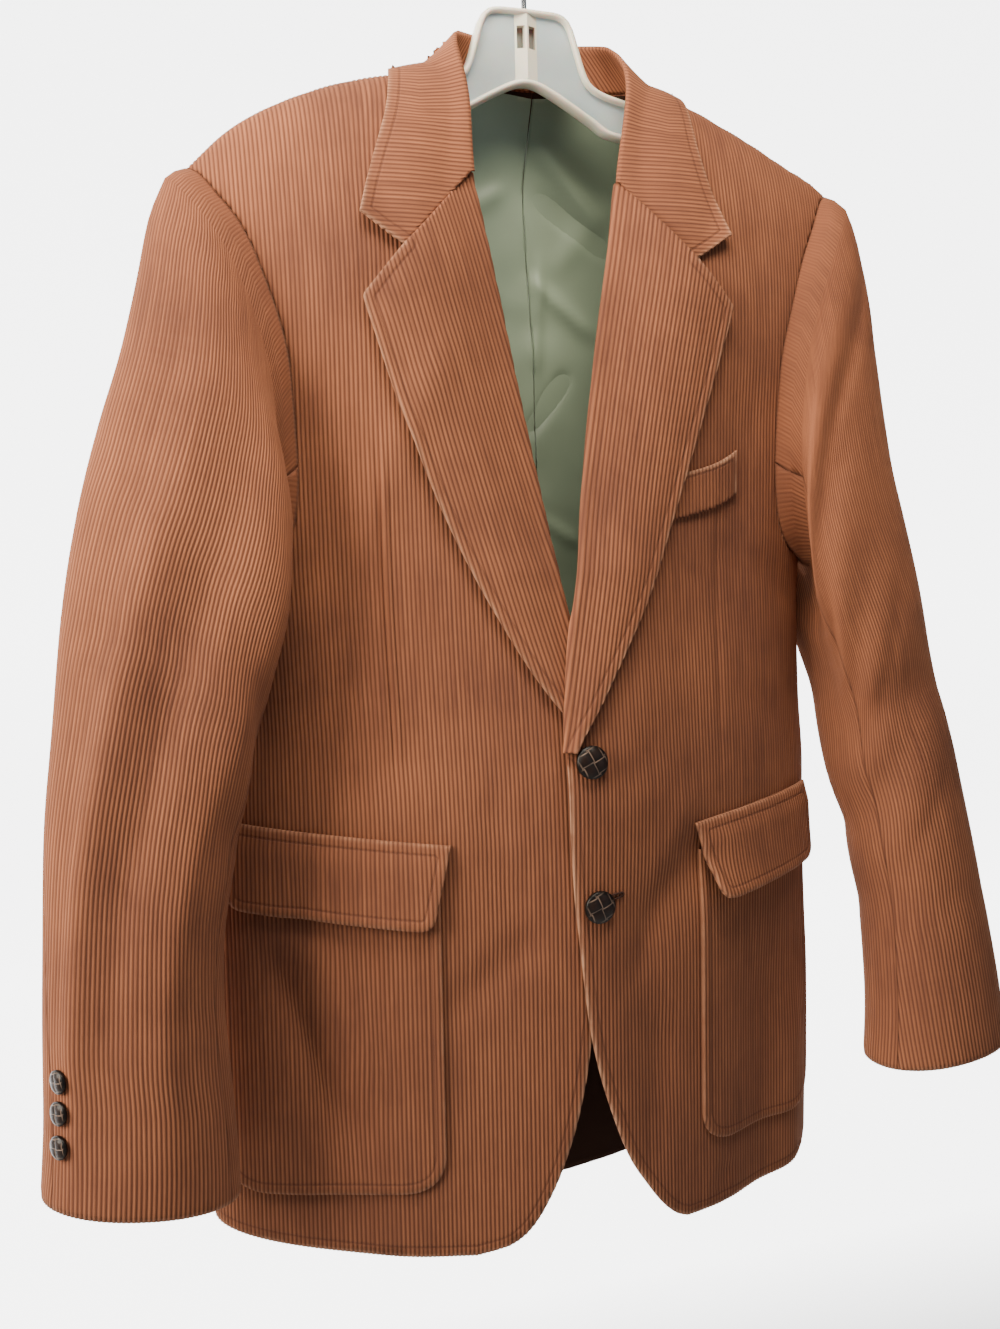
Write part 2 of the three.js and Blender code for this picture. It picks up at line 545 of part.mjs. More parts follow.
// Sleeves
function sleeveRing(step, turn, side) {
  const a = radians(turn);
  const only = (value) => (side === LEFT ? value : 0);
  const out = { x: sleeve.outX(step) - only(leftSleeve.outIn(step)), z: sleeve.outZ(step) };
  const inn = { x: sleeve.inX(step) - only(leftSleeve.inIn(step)), z: sleeve.inZ(step) };
  const round = (c) => Math.sign(c) * Math.abs(c) ** SLEEVE_ROUND;
  const [c, s] = [round(Math.cos(a)), round(Math.sin(a))];
  const lean = (side === LEFT ? leftSleeve : sleeve).lean(step) * s ** 2 * (s > 0 ? 1 : 0.6);
  const x = (out.x + inn.x) / 2 + (c * (out.x - inn.x)) / 2 - lean;
  const z = (out.z + inn.z) / 2 + (c * (out.z - inn.z)) / 2 + only((LEFT_SHORTER * (step - 1)) / 12);
  const y = sleeve.midY(step) - s * (s > 0 ? sleeve.fore(step) : sleeve.aft(step));
  return new THREE.Vector3(side * x, y + only(leftSleeve.back(step)), z);
}
function sleeveFold(step, turn, side) {
  let sum = 0;
  for (const f of SLEEVE_FOLDS[name(side)]) {
    const off = step - f.step - f.slant * (turn - f.turn);
    const away = (turn - f.turn) / f.reach;
    sum += f.height * Math.exp(-((off / f.wide) ** 2) - away * away);
  }
  return sum * ease(step / 1.5) * ease((13.2 - step) / 1.5);
}
// A point of the armhole's edge, on the straight lines between the ends of the panel's rows.
const ARMHOLE_ROWS = ROWS.filter((v) => v >= UNDERARM_ROW);
const ARMHOLE_SHARES = ARMHOLE_ROWS.map((v) => (v - UNDERARM_ROW) / (1 - UNDERARM_ROW));
function armholeEdge(turn, side) {
  const share = 1 - (turn <= 180 ? turn : 360 - turn) / 180;
  const next = clamp(ARMHOLE_SHARES.findIndex((s) => s >= share - 1e-9), 1, ARMHOLE_SHARES.length - 1);
  const [a, b] = [ARMHOLE_SHARES[next - 1], ARMHOLE_SHARES[next]];
  const ends = [a, b].map((s) => {
    const p = armholePoint(turn <= 180 ? 180 - 180 * s : 180 + 180 * s, side);
    return bodyPoint(p.x, p.z, p.way);
  });
  return ends[0].lerp(ends[1], (share - a) / (b - a));
}
function sleevePoint(step, turn, side) {
  const t = ((turn % 360) + 360) % 360;
  const ring = sleeveRing(Math.max(step, 1), t, side);
  if (step >= 1) {
    const hub = sleeveRing(step, 0, side).add(sleeveRing(step, 180, side)).multiplyScalar(0.5);
    const outward = ring.clone().sub(hub).normalize();
    return ring.addScaledVector(outward, sleeveFold(step, t, side));
  }
  // The cap leaves the armhole past a narrow gap and rounds over the seam.
  const start = armholeEdge(t, side);
  const rise = start.clone().sub(new THREE.Vector3(side * 205, SIDE_Y, -315)).setX(0).normalize();
  const from = start.clone().add(new THREE.Vector3(side * CAP.gap, 0, 0)).addScaledVector(rise, 0.2);
  const bulge = Math.sin((step * Math.PI) / 2) ** 0.75;
  return from.lerp(ring, step).addScaledVector(rise, (bulge - step) * CAP.bulge);
}
function sleeveNormal(step, turn, side) {
  const [low, high] = [Math.max(step - 0.15, 0), Math.min(step + 0.15, 13)];
  const around = sleevePoint(step, turn + 2, side).sub(sleevePoint(step, turn - 2, side));
  const down = sleevePoint(high, turn, side).sub(sleevePoint(low, turn, side));
  return around.cross(down).normalize().multiplyScalar(side);
}
const SLEEVE_STEPS = [0, 0.5, ...spread(15, (t) => 1 + 12 * t)];
const SEAM_TURN = 0.25;
function addSleevePiece(meshName, side, turnAt, cols) {
  const turns = (step) => spread(cols).map((u) => turnAt(u, step));
  const grid = SLEEVE_STEPS.map((step) => turns(step).map((turn) => sleevePoint(step, turn, side)));
  const normals = SLEEVE_STEPS.map((step) => turns(step).map((turn) => sleeveNormal(step, turn, side)));
  add(meshName, wall(grid, SLEEVE_WALL, { normals, flip: side === RIGHT }), CORDUROY);
}
for (const side of [RIGHT, LEFT]) {
  const { fore, hind } = SLEEVE_SEAMS;
  const foreTurn = (step) => mix(fore.top, fore.cuff, ease(step / 13));
  const hindTurn = (step) => mix(hind.top, hind.cuff[name(side)], ease(step / 13));
  const upperTurn = (u, step) => mix(hindTurn(step) - 360 + SEAM_TURN, foreTurn(step) - SEAM_TURN, u);
  // A column of the under sleeve starts at the underarm.
  const underTurn = (u, step) => {
    const [from, to] = [foreTurn(step) + SEAM_TURN, hindTurn(step) - SEAM_TURN];
    const middle = mix(180, mix(from, to, 0.4), ease(step / 6));
    return u < 0.4 ? mix(from, middle, u / 0.4) : mix(middle, to, (u - 0.4) / 0.6);
  };
  addSleevePiece(`sleeve_upper_${name(side)}`, side, upperTurn, 10);
  addSleevePiece(`sleeve_under_${name(side)}`, side, underTurn, 10);
}

// Lapels: each goes on from its front's edge, rolls over a half turn and lies back on the front.
function lapelRow(v, side) {
  const rollZ = mix(LAPEL.fromZ[name(side)], GORGE_TOP.z - 1, v);
  const edgeZ = mix(LAPEL.fromZ[name(side)] - 1, LAPEL_POINT.z - 0.5, v);
  const roll = { x: side * rollLine[name(side)](rollZ), z: rollZ };
  const edge = { x: side * lapelEdge[name(side)](edgeZ), z: edgeZ };
  const n = bodyNormal(roll.x, roll.z, -1);
  const across = frontPoint(roll.x + side, roll.z, side).sub(frontPoint(roll.x, roll.z, side)).normalize();
  const radius = LAPEL.rollRadius;
  const hub = frontPoint(roll.x, roll.z, side)
    .addScaledVector(n, radius - SHELL / 2)
    .addScaledVector(across, -SEAM_GAP - 0.6);
  const row = [-90, -45, 0, 45].map((turn) =>
    hub
      .clone()
      .addScaledVector(across, -radius * Math.cos(radians(turn)))
      .addScaledVector(n, radius * Math.sin(radians(turn))),
  );
  for (const u of spread(LAPEL.columns)) {
    const p = { x: mix(roll.x, edge.x, u), z: mix(roll.z, edge.z, u) };
    const lift = mix(2 * radius - SHELL / 2, LAPEL.edgeLift, ease(u * 1.3));
    const belly = LAPEL.belly * Math.sin(Math.PI * u) * ease(v * 2);
    row.push(frontPoint(p.x, p.z, side).addScaledVector(bodyNormal(p.x, p.z, -1), lift + belly));
  }
  return row;
}
for (const side of [RIGHT, LEFT]) {
  const rows = spread(LAPEL.rows).map((v) => lapelRow(v, side));
  add(`lapel_${name(side)}`, wall(rows, FOLD_WALL, { out: FOLD_WALL / 2, flip: side === RIGHT }), CORDUROY);
}

// Collar
// How far a point is out of the body near its shoulders, as a share of the body's depth (0 on its face).
function outside(p) {
  const way = p.y < SIDE_Y ? -1 : 1;
  const ridge = shoulder(Math.abs(p.x));
  const depth = Math.max(bodyDepth(p.x, Math.min(p.z, ridge), way), 4);
  const drop = way > 0 ? BACK_DROP : FRONT_DROP;
  const up = Math.max(0, (p.z - ridge + drop) / drop);
  return Math.hypot((p.y - SIDE_Y) / depth, up) - 1;
}
function pushOut(p, lift) {
  const d = 0.2;
  const rate = (key) => {
    const [more, less] = [p.clone(), p.clone()];
    more[key] += d;
    less[key] -= d;
    return (outside(more) - outside(less)) / (2 * d);
  };
  for (let i = 0; i < 8; i++) {
    const slope = new THREE.Vector3(rate("x"), rate("y"), rate("z"));
    const gap = outside(p) / slope.length();
    if (gap >= lift - 0.02) break;
    p.addScaledVector(slope.normalize(), lift - gap);
  }
  return p;
}
// The neck seam for the wearer's left half, and the direction off the cloth there.
function neckSeam(t) {
  const { atShoulder } = COLLAR_FORM;
  if (t < atShoulder) {
    const x = NECK_POINT.x * Math.sin(((t / atShoulder) * Math.PI) / 2);
    const z = mix(BACK_NECK_Z, NECK_POINT.z, x / NECK_POINT.x);
    const turn = x / NECK_POINT.x;
    return { at: bodyPoint(x, z, 1), off: new THREE.Vector3(-turn, -0.4 * (1 - turn), 1 - turn).normalize() };
  }
  const z = mix(NECK_POINT.z, GORGE_TOP.z + 3, (t - atShoulder) / (1 - atShoulder));
  return { at: bodyPoint(rollLine.left(z), z, -1), off: new THREE.Vector3(-1, 0, 0) };
}
function collarRow(t, side) {
  const { off: gap, lift, belly, notchAt, falls } = COLLAR_FORM;
  const at = (key, u = t) =>
    new THREE.Vector3(collar[`${key}X`](u), collar[`${key}Y`](u), collar[`${key}Z`](u));
  const neck = neckSeam(t);
  const seam = neck.at.addScaledVector(neck.off, gap);
  const [fold, edge] = [at("fold"), at("edge")];
  const along = at("fold", Math.min(t + 0.03, 1)).sub(at("fold", Math.max(t - 0.03, 0))).normalize();
  const square = (v) => v.addScaledVector(along, -v.dot(along)).normalize();
  const [toSeam, toEdge] = [square(seam.clone().sub(fold)), square(edge.clone().sub(fold))];
  const crown = toSeam.clone().add(toEdge).negate().normalize();
  const over = toEdge.clone().addScaledVector(crown, -toEdge.dot(crown)).normalize();
  const half = Math.PI / 2 - toSeam.angleTo(toEdge) / 2;
  const radius = LAPEL.rollRadius;
  const arc = [-1, -0.5, 0, 0.5, 1].map((s) =>
    fold
      .clone()
      .addScaledVector(crown, radius * Math.cos(s * half))
      .addScaledVector(over, radius * Math.sin(s * half)),
  );
  const row = [seam, seam.clone().lerp(arc[0], 0.5), ...arc];
  const notch = new THREE.Vector3(NOTCH.x, bodyY(NOTCH.x, NOTCH.z, -1) - lift, NOTCH.z);
  const [foldEnd, corner] = [at("fold", 1), at("edge", 1)];
  for (const w of spread(falls).slice(1)) {
    // Towards the gorge the fall reaches down to the notch, between the fold and the collar's point.
    const straight = foldEnd.clone().lerp(corner, w);
    const bent =
      w < notchAt
        ? foldEnd.clone().lerp(notch, w / notchAt)
        : notch.clone().lerp(corner, (w - notchAt) / (1 - notchAt));
    const p = arc[4].clone().lerp(edge, w).addScaledVector(bent.sub(straight), t ** 5);
    const ridge = 0.9 * Math.exp(-(((t - 0.5) / 0.12) ** 2));
    row.push(pushOut(p, lift + ridge + belly * Math.sin(Math.PI * w)));
  }
  for (const p of row) p.x *= side;
  return row;
}
const collarGrid = [
  ...[...COLLAR_ROWS].reverse().map((t) => collarRow(t, RIGHT)),
  ...COLLAR_ROWS.slice(1).map((t) => collarRow(t, LEFT)),
];
add("collar", wall(collarGrid, FOLD_WALL, { out: FOLD_WALL / 2, flip: true }), CORDUROY);

// What lies on a front is laid on that front's own faces.
const ray = new THREE.Raycaster();
function onCloth(x, z, side) {
  fronts[side].updateMatrixWorld();
  ray.set(new THREE.Vector3(x, -300, z), new THREE.Vector3(0, 1, 0));
  const hit = ray.intersectObject(fronts[side])[0];
  return hit ? hit.point : frontPoint(x, z, side);
}
// A wall laid on a front: `place` gives x, z and how far its outer face stands out.
function laidWall(rows, cols, thick, side, place) {
  const grid = rows.map((s) => cols.map((u) => place(s, u)));
  const points = grid.map((row) => row.map(({ x, z }) => onCloth(x, z, side)));
  const normals = grid.map((row) => row.map(({ x, z }) => bodyNormal(x, z, -1)));
  const out = grid.map((row) => row.map(({ lift }) => lift));
  const under = (i, j) => points[i][j].clone().addScaledVector(normals[i][j], out[i][j] - thick);
  for (let i = 0; i < rows.length - 1; i++)
    for (let j = 0; j < cols.length - 1; j++) {
      const cell = [[i, j], [i + 1, j], [i + 1, j + 1], [i, j + 1]];
      const corners = cell.map(([a, b]) => under(a, b));
      const tests = corners.map((p, k) => p.clone().lerp(corners[(k + 1) % 4], 0.5));
      tests.push(corners[0].clone().lerp(corners[2], 0.5), corners[1].clone().lerp(corners[3], 0.5));
      const short = tests.map((p) => LEAST_GAP - (onCloth(p.x, p.z, side).y - p.y) * -normals[i][j].y);
      const raise = Math.max(0, ...short);
      for (const [a, b] of cell) out[a][b] += raise;
    }
  return wall(points, thick, { out, normals, flip: side === RIGHT });
}
// How far a rounded corner draws the edge in, at a distance from the edge that it meets.
const cornerInset = (radius, off) => radius - Math.sqrt(radius ** 2 - clamp(radius - off, 0, radius) ** 2);

for (const side of [RIGHT, LEFT]) {
  const key = name(side);
  const inner = POCKET.inner[key];
  const pocketRows = [0, 0.008, 0.03, 0.07, 0.13, 0.24, 0.36, 0.48, 0.6, 0.72, 0.86, 1];
  const pocketPlace = (s, u) => {
    const z = mix(POCKET.bottom, POCKET.top, s);
    const inset = cornerInset(POCKET.corner, z - POCKET.bottom);
    const outer = POCKET.outer[key] * halfWidth(side, z) - inset;
    return { x: side * mix(inner + inset, outer, u), z, lift: ON_CLOTH + SHELL };
  };
  const pocket = laidWall(pocketRows, spread(9), SHELL, side, pocketPlace);
  add(`pocket_${key}`, pocket, CORDUROY);
  const overPocket = ON_CLOTH + SHELL + ON_CLOTH + FLAP_WALL;
  const flapPlace = (s, u) => {
    const down = 1 - s;
    const inset = cornerInset(FLAP.corner, s * FLAP.tall);
    const outer = FLAP.outer[key] * halfWidth(side, FLAP.top) - inset;
    const across = mix(FLAP.inner + FLAP.slant * down + inset, outer, u);
    const z = FLAP.top + FLAP.slope * (across - FLAP.inner) - FLAP.tall * down;
    const stand = FLAP_STAND[key] * down ** 1.5 * (1 - 0.75 * u);
    const lift = mix(ON_CLOTH + FLAP_WALL, overPocket, ease(down / 0.3)) + stand;
    return { x: side * across, z, lift };
  };
  const flap = laidWall([0, 0.05, 0.16, 0.4, 0.7, 0.85, 1], spread(7), FLAP_WALL, side, flapPlace);
  add(`flap_${key}`, flap, CORDUROY);
}
const weltPlace = (s, u) => {
  const x = mix(WELT.from, WELT.to, u);
  const z = WELT.top + WELT.rise * (x - WELT.from) + WELT.turnUp * u ** 4 - WELT.tall * (1 - s);
  return { x, z, lift: ON_CLOTH + WELT.wall };
};
add("breast_welt", laidWall(spread(2), spread(5), WELT.wall, LEFT, weltPlace), CORDUROY);

// Buttons: a domed disc standing on a point of the cloth.
function button(at, normal, { radius, height, around }) {
  const rings = [
    { r: 0.62, h: 0 },
    { r: 0.95, h: 0.22 },
    { r: 1, h: 0.42 },
    { r: 0.86, h: 0.75 },
    { r: 0.5, h: 0.96 },
  ];
  const spin = new THREE.Quaternion().setFromUnitVectors(new THREE.Vector3(0, 0, 1), normal);
  const place = (x, y, z) => new THREE.Vector3(x, y, z).applyQuaternion(spin).add(at);
  const points = rings.flatMap(({ r, h }) =>
    spread(around).slice(1).map((u) => {
      const a = u * 2 * Math.PI;
      return place(radius * r * Math.cos(a), radius * r * Math.sin(a), height * h);
    }),
  );
  points.push(place(0, 0, 0), place(0, 0, height));
  const index = [];
  const [bottom, top] = [points.length - 2, points.length - 1];
  for (let j = 0; j < around; j++) {
    const k = (j + 1) % around;
    index.push(bottom, k, j);
    for (let i = 0; i < rings.length - 1; i++) {
      const [a, b] = [i * around, (i + 1) * around];
      index.push(a + j, a + k, b + k, a + j, b + k, b + j);
    }
    const last = (rings.length - 1) * around;
    index.push(last + j, last + k, top);
  }
  const geometry = new THREE.BufferGeometry().setFromPoints(points);
  geometry.setIndex(index);
  return geometry;
}
for (const { at, x, z } of FRONT_BUTTONS) {
  const n = bodyNormal(x, z, -1);
  const seat = onCloth(x, z, LEFT).addScaledVector(n, SEAM_GAP + 0.2);
  add(`button_front_${at}`, button(seat, n, FRONT_BUTTON), LEATHER);
}
for (const side of [RIGHT, LEFT])
  CUFF_BUTTON_STEPS.forEach((step, i) => {
    const turn = CUFF_BUTTON_TURN[name(side)];
    const n = sleeveNormal(step, turn, side);
    const seat = sleevePoint(step, turn, side).addScaledVector(n, SEAM_GAP + 0.1);
    add(`button_cuff_${name(side)}_${i + 1}`, button(seat, n, CUFF_BUTTON), LEATHER);
  });

// Hanger
function toManifold(geometry) {
  const merged = mergeVertices(geometry, 1e-4);
  const mesh = new wasm.Mesh({
    numProp: 3,
    vertProperties: merged.attributes.position.array,
    triVerts: new Uint32Array(merged.index.array),
  });
  mesh.merge();
  return new wasm.Manifold(mesh);
}
function fromManifold(solid) {
  const mesh = solid.getMesh();
  const geometry = new THREE.BufferGeometry();
  geometry.setAttribute("position", new THREE.Float32BufferAttribute(mesh.vertProperties, 3));
  geometry.setIndex([...mesh.triVerts]);
  return geometry;
}
// Closed body through equal rings of points, with flat ends.
function loft(rings) {
  const count = rings[0].length;
  const points = rings.flat();
  const index = [];
  for (let i = 0; i < rings.length - 1; i++)
    for (let j = 0; j < count; j++) {
      const k = (j + 1) % count;
      const [a, b] = [i * count, (i + 1) * count];
      index.push(a + j, b + k, b + j, a + j, a + k, b + k);
    }
  const last = (rings.length - 1) * count;
  for (let j = 1; j < count - 1; j++) {
    index.push(0, j + 1, j);
    index.push(last, last + j, last + j + 1);
  }
  const geometry = new THREE.BufferGeometry().setFromPoints(points);
  geometry.setIndex(index);
  return geometry;
}
// The hanger's outline drawn in by `inset`, between two depths, with chamfered long edges.
function hangerSlab(inset, y0, y1, chamfer) {
  const rows = HANGER.filter(({ x }) => x < HANGER.at(-1).x - inset * 1.5);
  const stations = [...rows.slice(1).reverse().map((r) => ({ ...r, x: -r.x })), ...rows];
  const rings = stations.map(({ x, top, bottom }) => {
    const [high, low] = [top - inset * 1.15, bottom + inset * 1.15];
    const corners = [
      [y0, low],
      [y1, low],
      [y1, high],
      [y0, high],
    ];
    const chamfered = [
      [y0 + chamfer, low],
      [y1 - chamfer, low],
      [y1, low + chamfer],
      [y1, high - chamfer],
      [y1 - chamfer, high],
      [y0 + chamfer, high],
      [y0, high - chamfer],
      [y0, low + chamfer],
    ];
    const ring = chamfer > 0 ? chamfered : corners;
    return ring.map(([y, z]) => new THREE.Vector3(x, y, z));
  });
  return toManifold(loft(rings));
}
function hangerBody() {
  const { thick, web, rim, chamfer } = HANGER_FORM;
  let solid = hangerSlab(0, -thick / 2, thick / 2, chamfer);
  solid = solid.subtract(hangerSlab(rim, -thick, -web / 2, 0));
  solid = solid.subtract(hangerSlab(rim, web / 2, thick, 0));
  const pane = (WINDOW.wide - WINDOW.bar) / 2;
  for (const side of [RIGHT, LEFT]) {
    const hole = wasm.Manifold.cube([pane, 4 * thick, WINDOW.tall], true);
    solid = solid.subtract(hole.translate(side * (pane + WINDOW.bar) * 0.5, 0, WINDOW.z));
  }
  const boss = wasm.Manifold.cylinder(13, 4.6, 4.6, 20).translate(0, 0, HOOK.foot - 1);
  const bore = wasm.Manifold.cylinder(40, HOOK.bore, HOOK.bore, 20).translate(0, 0, HOOK.foot - 0.3);
  return fromManifold(solid.add(boss).subtract(bore));
}
add("hanger_body", hangerBody(), PLASTIC);

// The hook's wire runs up from the hanger and round a rail, whose top it touches at the origin.
function hookWire() {
  const r = HOOK.inner + HOOK.wire;
  const centre = -HOOK.inner;
  const arc = [-50, -25, 0, 30, 60, 90, 120, 150, 180, 203].map((turn) => [
    r * Math.cos(radians(turn)),
    centre + r * Math.sin(radians(turn)),
  ]);
  const line = [[0, HOOK.foot], [0, -66], [0.6, -54], [6, -44], ...arc];
  const curve = new THREE.CatmullRomCurve3(line.map(([x, z]) => new THREE.Vector3(x, 0, z)));
  const sides = 8;
  const rings = spread(26).map((u) => {
    const at = curve.getPoint(u);
    const along = curve.getTangent(u);
    const across = new THREE.Vector3(along.z, 0, -along.x);
    return spread(sides).slice(1).map((s) =>
      at
        .clone()
        .addScaledVector(across, HOOK.wire * Math.cos(s * 2 * Math.PI))
        .add(new THREE.Vector3(0, HOOK.wire * Math.sin(s * 2 * Math.PI), 0)),
    );
  });
  return loft(rings);
}
add("hanger_hook", hookWire(), STEEL);

export default jacket;
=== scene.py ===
# Finish of a corduroy jacket on its hanger: every sewn piece as a thin shell with raised wales, on the
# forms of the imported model. Sizes are in millimetres until a mesh is made, which is in metres.
import math

import bmesh
import bpy
import numpy as np
from mathutils import Matrix, Vector


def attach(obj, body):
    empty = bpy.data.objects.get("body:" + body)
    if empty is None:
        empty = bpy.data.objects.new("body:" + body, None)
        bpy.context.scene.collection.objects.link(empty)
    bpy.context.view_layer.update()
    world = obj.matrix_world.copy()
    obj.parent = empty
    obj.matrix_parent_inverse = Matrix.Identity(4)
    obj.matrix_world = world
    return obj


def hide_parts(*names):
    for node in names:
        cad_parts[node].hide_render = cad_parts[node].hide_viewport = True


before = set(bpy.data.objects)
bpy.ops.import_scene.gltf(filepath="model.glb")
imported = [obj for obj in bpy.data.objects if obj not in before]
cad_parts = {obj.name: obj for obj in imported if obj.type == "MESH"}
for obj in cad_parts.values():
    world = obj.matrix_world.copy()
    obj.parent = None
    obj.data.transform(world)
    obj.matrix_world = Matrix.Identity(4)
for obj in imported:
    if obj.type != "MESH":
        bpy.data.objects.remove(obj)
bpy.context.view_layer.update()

MM = 0.001
RIGHT = -1
LEFT = 1
SIDE_NAME = {RIGHT: "right", LEFT: "left"}

# Corduroy: distance between wales, where a wale's mesh lines run in it and how high they stand
WALE = 2.9
WALE_LINES = {0.0: -0.34, 0.3: 0.26, 0.7: 0.26}
# The wales that one UV unit holds
UV_WALES = 100.0
# Distance given to places that no edge is near
FAR = 99.0

# Thicknesses and gaps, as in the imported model
SHELL = 2.2
SLEEVE_WALL = 2.0
FOLD_WALL = 2.5
FLAP_WALL = 2.6
WELT_WALL = 1.8
LINING_WALL = 1.0
LINING_EASE = 1.3
SEAM_GAP = 0.3
ON_CLOTH = 0.6
# A finished edge is rounded off by so much over so much of its width.
EDGE_ROUND = {"deep": 0.5, "wide": 1.6}


# Smooth curve through points, with no overshoot between them, and straight past its ends.
def smooth(t, v):
    rise = np.diff(v) / np.diff(t)
    slope = np.concatenate([rise[:1], rise])
    slope[-1] = rise[-1]
    a, b = rise[:-1], rise[1:]
    total = np.where(a + b == 0, 1, a + b)
    slope[1:-1] = np.where(a * b <= 0, 0, 2 * a * b / total)

    def at(x):
        x = np.asarray(x, float)
        c = np.clip(x, t[0], t[-1])
        i = np.clip(np.searchsorted(t, c, side="right") - 1, 0, len(t) - 2)
        h = t[i + 1] - t[i]
        s = (c - t[i]) / h
        keep = (1 + 2 * s) * (1 - s) ** 2 * v[i] + s * s * (3 - 2 * s) * v[i + 1]
        bend = h * (s * (1 - s) ** 2 * slope[i] - s * s * (1 - s) * slope[i + 1])
        return keep + bend + slope[0] * np.minimum(x - t[0], 0) + slope[-1] * np.maximum(x - t[-1], 0)

    return at


# Smooth columns of a table over its first column.
def columns(names, rows):
    rows = np.array(rows, float)
    rows = rows[np.argsort(rows[:, 0])]
    return {name: smooth(rows[:, 0], rows[:, i]) for i, name in enumerate(names.split()) if i}


def ease(t):
    t = np.clip(t, 0, 1)
    return t * t * (3 - 2 * t)


def mix(a, b, t):
    return a + (b - a) * t


def unit(v):
    return v / np.maximum(np.linalg.norm(v, axis=-1, keepdims=True), 1e-9)


# 1 at 0, falling away over `wide` to each side.
def bell(off, wide):
    return np.exp(-((off / wide) ** 2))


# Sums of steps so far, from 0.
def running(steps):
    total = np.cumsum(steps, axis=-1)
    return np.concatenate([np.zeros_like(total[..., :1]), total], axis=-1)


# How far places are along a line, from 0 at its start to 1 at its end, and how far beside it.
def beside(x, z, x0, z0, x1, z1):
    dx, dz = x1 - x0, z1 - z0
    along = ((x - x0) * dx + (z - z0) * dz) / (dx * dx + dz * dz)
    off = ((x - x0) * dz - (z - z0) * dx) / math.hypot(dx, dz)
    return along, off


def point(x, y, z):
    return np.stack(np.broadcast_arrays(x, y, z), axis=-1).astype(float)


# Value of a table at fractional rows and columns.
def between(table, i, j):
    i = np.clip(i, 0, table.shape[0] - 1.001)
    j = np.clip(j, 0, table.shape[1] - 1.001)
    i0, j0 = i.astype(int), j.astype(int)
    fi, fj = i - i0, j - j0
    if table.ndim == 3:
        fi, fj = fi[..., None], fj[..., None]
    low = mix(table[i0, j0], table[i0, j0 + 1], fj)
    high = mix(table[i0 + 1, j0], table[i0 + 1, j0 + 1], fj)
    return mix(low, high, fi)


# Levels of the body
BREAK_Z = -578
UNDERARM_Z = -445
SHOULDER_POINT = (231, -189)
NECK_POINT = (75, -115)
BACK_NECK_Z = -113
HEM_SIDE_Z = {RIGHT: -881, LEFT: -882}
HEM_SAG = {RIGHT: 0, LEFT: 8}
HEM_BACK_Z = -897
AT_HEM_Z = -890
BACK_SEAM = {"low": 15, "neck": 6, "z": -330, "tall": 200}
TILT = {"share": 0.02, "z": -330, "tall": 150}
SKEW = {"x": 8, "z": -200, "tall": 90, "fade": 150, "fade_over": 60}
SLEEVEHEAD = {"x": 232, "wide": 26, "z": -255, "tall": 60, "left": 11, "right": -3}
FRONT_DROP = 150
BACK_DROP = 110
HOLLOW = {"share": 0.55, "width": 70, "top": -200, "bottom": -450}
UNDERARM_ROW = 0.56

BODY = columns("z right left front back round", [
    (-907, 243, 208, 78, 15, 1.5),
    (-760, 238, 210, 81, 22, 1.45),
    (-668, 236, 207, 83, 27, 1.45),
    (-600, 224, 208, 81, 31, 1.5),
    (-545, 208, 205, 74, 34, 1.65),
    (-478, 206, 204, 65, 38, 1.85),
    (-415, 210, 210, 61, 41, 1.95),
    (-336, 221, 221, 60, 45, 2),
    (-271, 230, 230, 60, 45, 2.1),
    (-190, 241, 241, 55, 41, 2.1),
    (-60, 246, 246, 49, 37, 2.1),
])
SHOULDER = columns("x z", [
    (0, -70), (40, -94), (75, -115), (95, -119.5), (118, -125),
    (146, -135), (178, -149.5), (205, -166), (231, -189), (246, -204),
])["z"]
FRONT_EDGE = columns("z left right", [
    (-907, 80, -76), (-903, 71, -54), (-893, 60, -39), (-874, 46, -26), (-853, 33, -16), (-820, 20, -5),
    (-783, 9, 3), (-753, 3, 7), (-702, -3, 17), (-661, -7, 22), (-614, -9.5, 25), (-578, -10, 26),
])
ROLL_LINE = columns("z left right", [
    (-578, -10, -26), (-545, -7, -18), (-490, 0, 0), (-468, 5.5, 5.5), (-391, 18.5, 18.5),
    (-340, 27, 27), (-281, 37, 37), (-242, 44, 44), (-191, 53, 53), (-150, 61, 61), (-115, 75, 75),
])
LAPEL_EDGE = columns("z left right", [
    (-578, -9, -25), (-560, 0, -10), (-545, 10, 8), (-478, 49, 50), (-415, 78, 80),
    (-336, 107, 109), (-272, 128, 129),
])
ARMHOLE = columns("turn chest blade", [
    (0, 231, 231), (30, 214, 220), (45, 201, 211), (60, 190, 202), (90, 174, 190), (120, 171, 186),
    (135, 173, 187), (150, 179, 190), (165, 192, 198), (180, 208, 208),
])
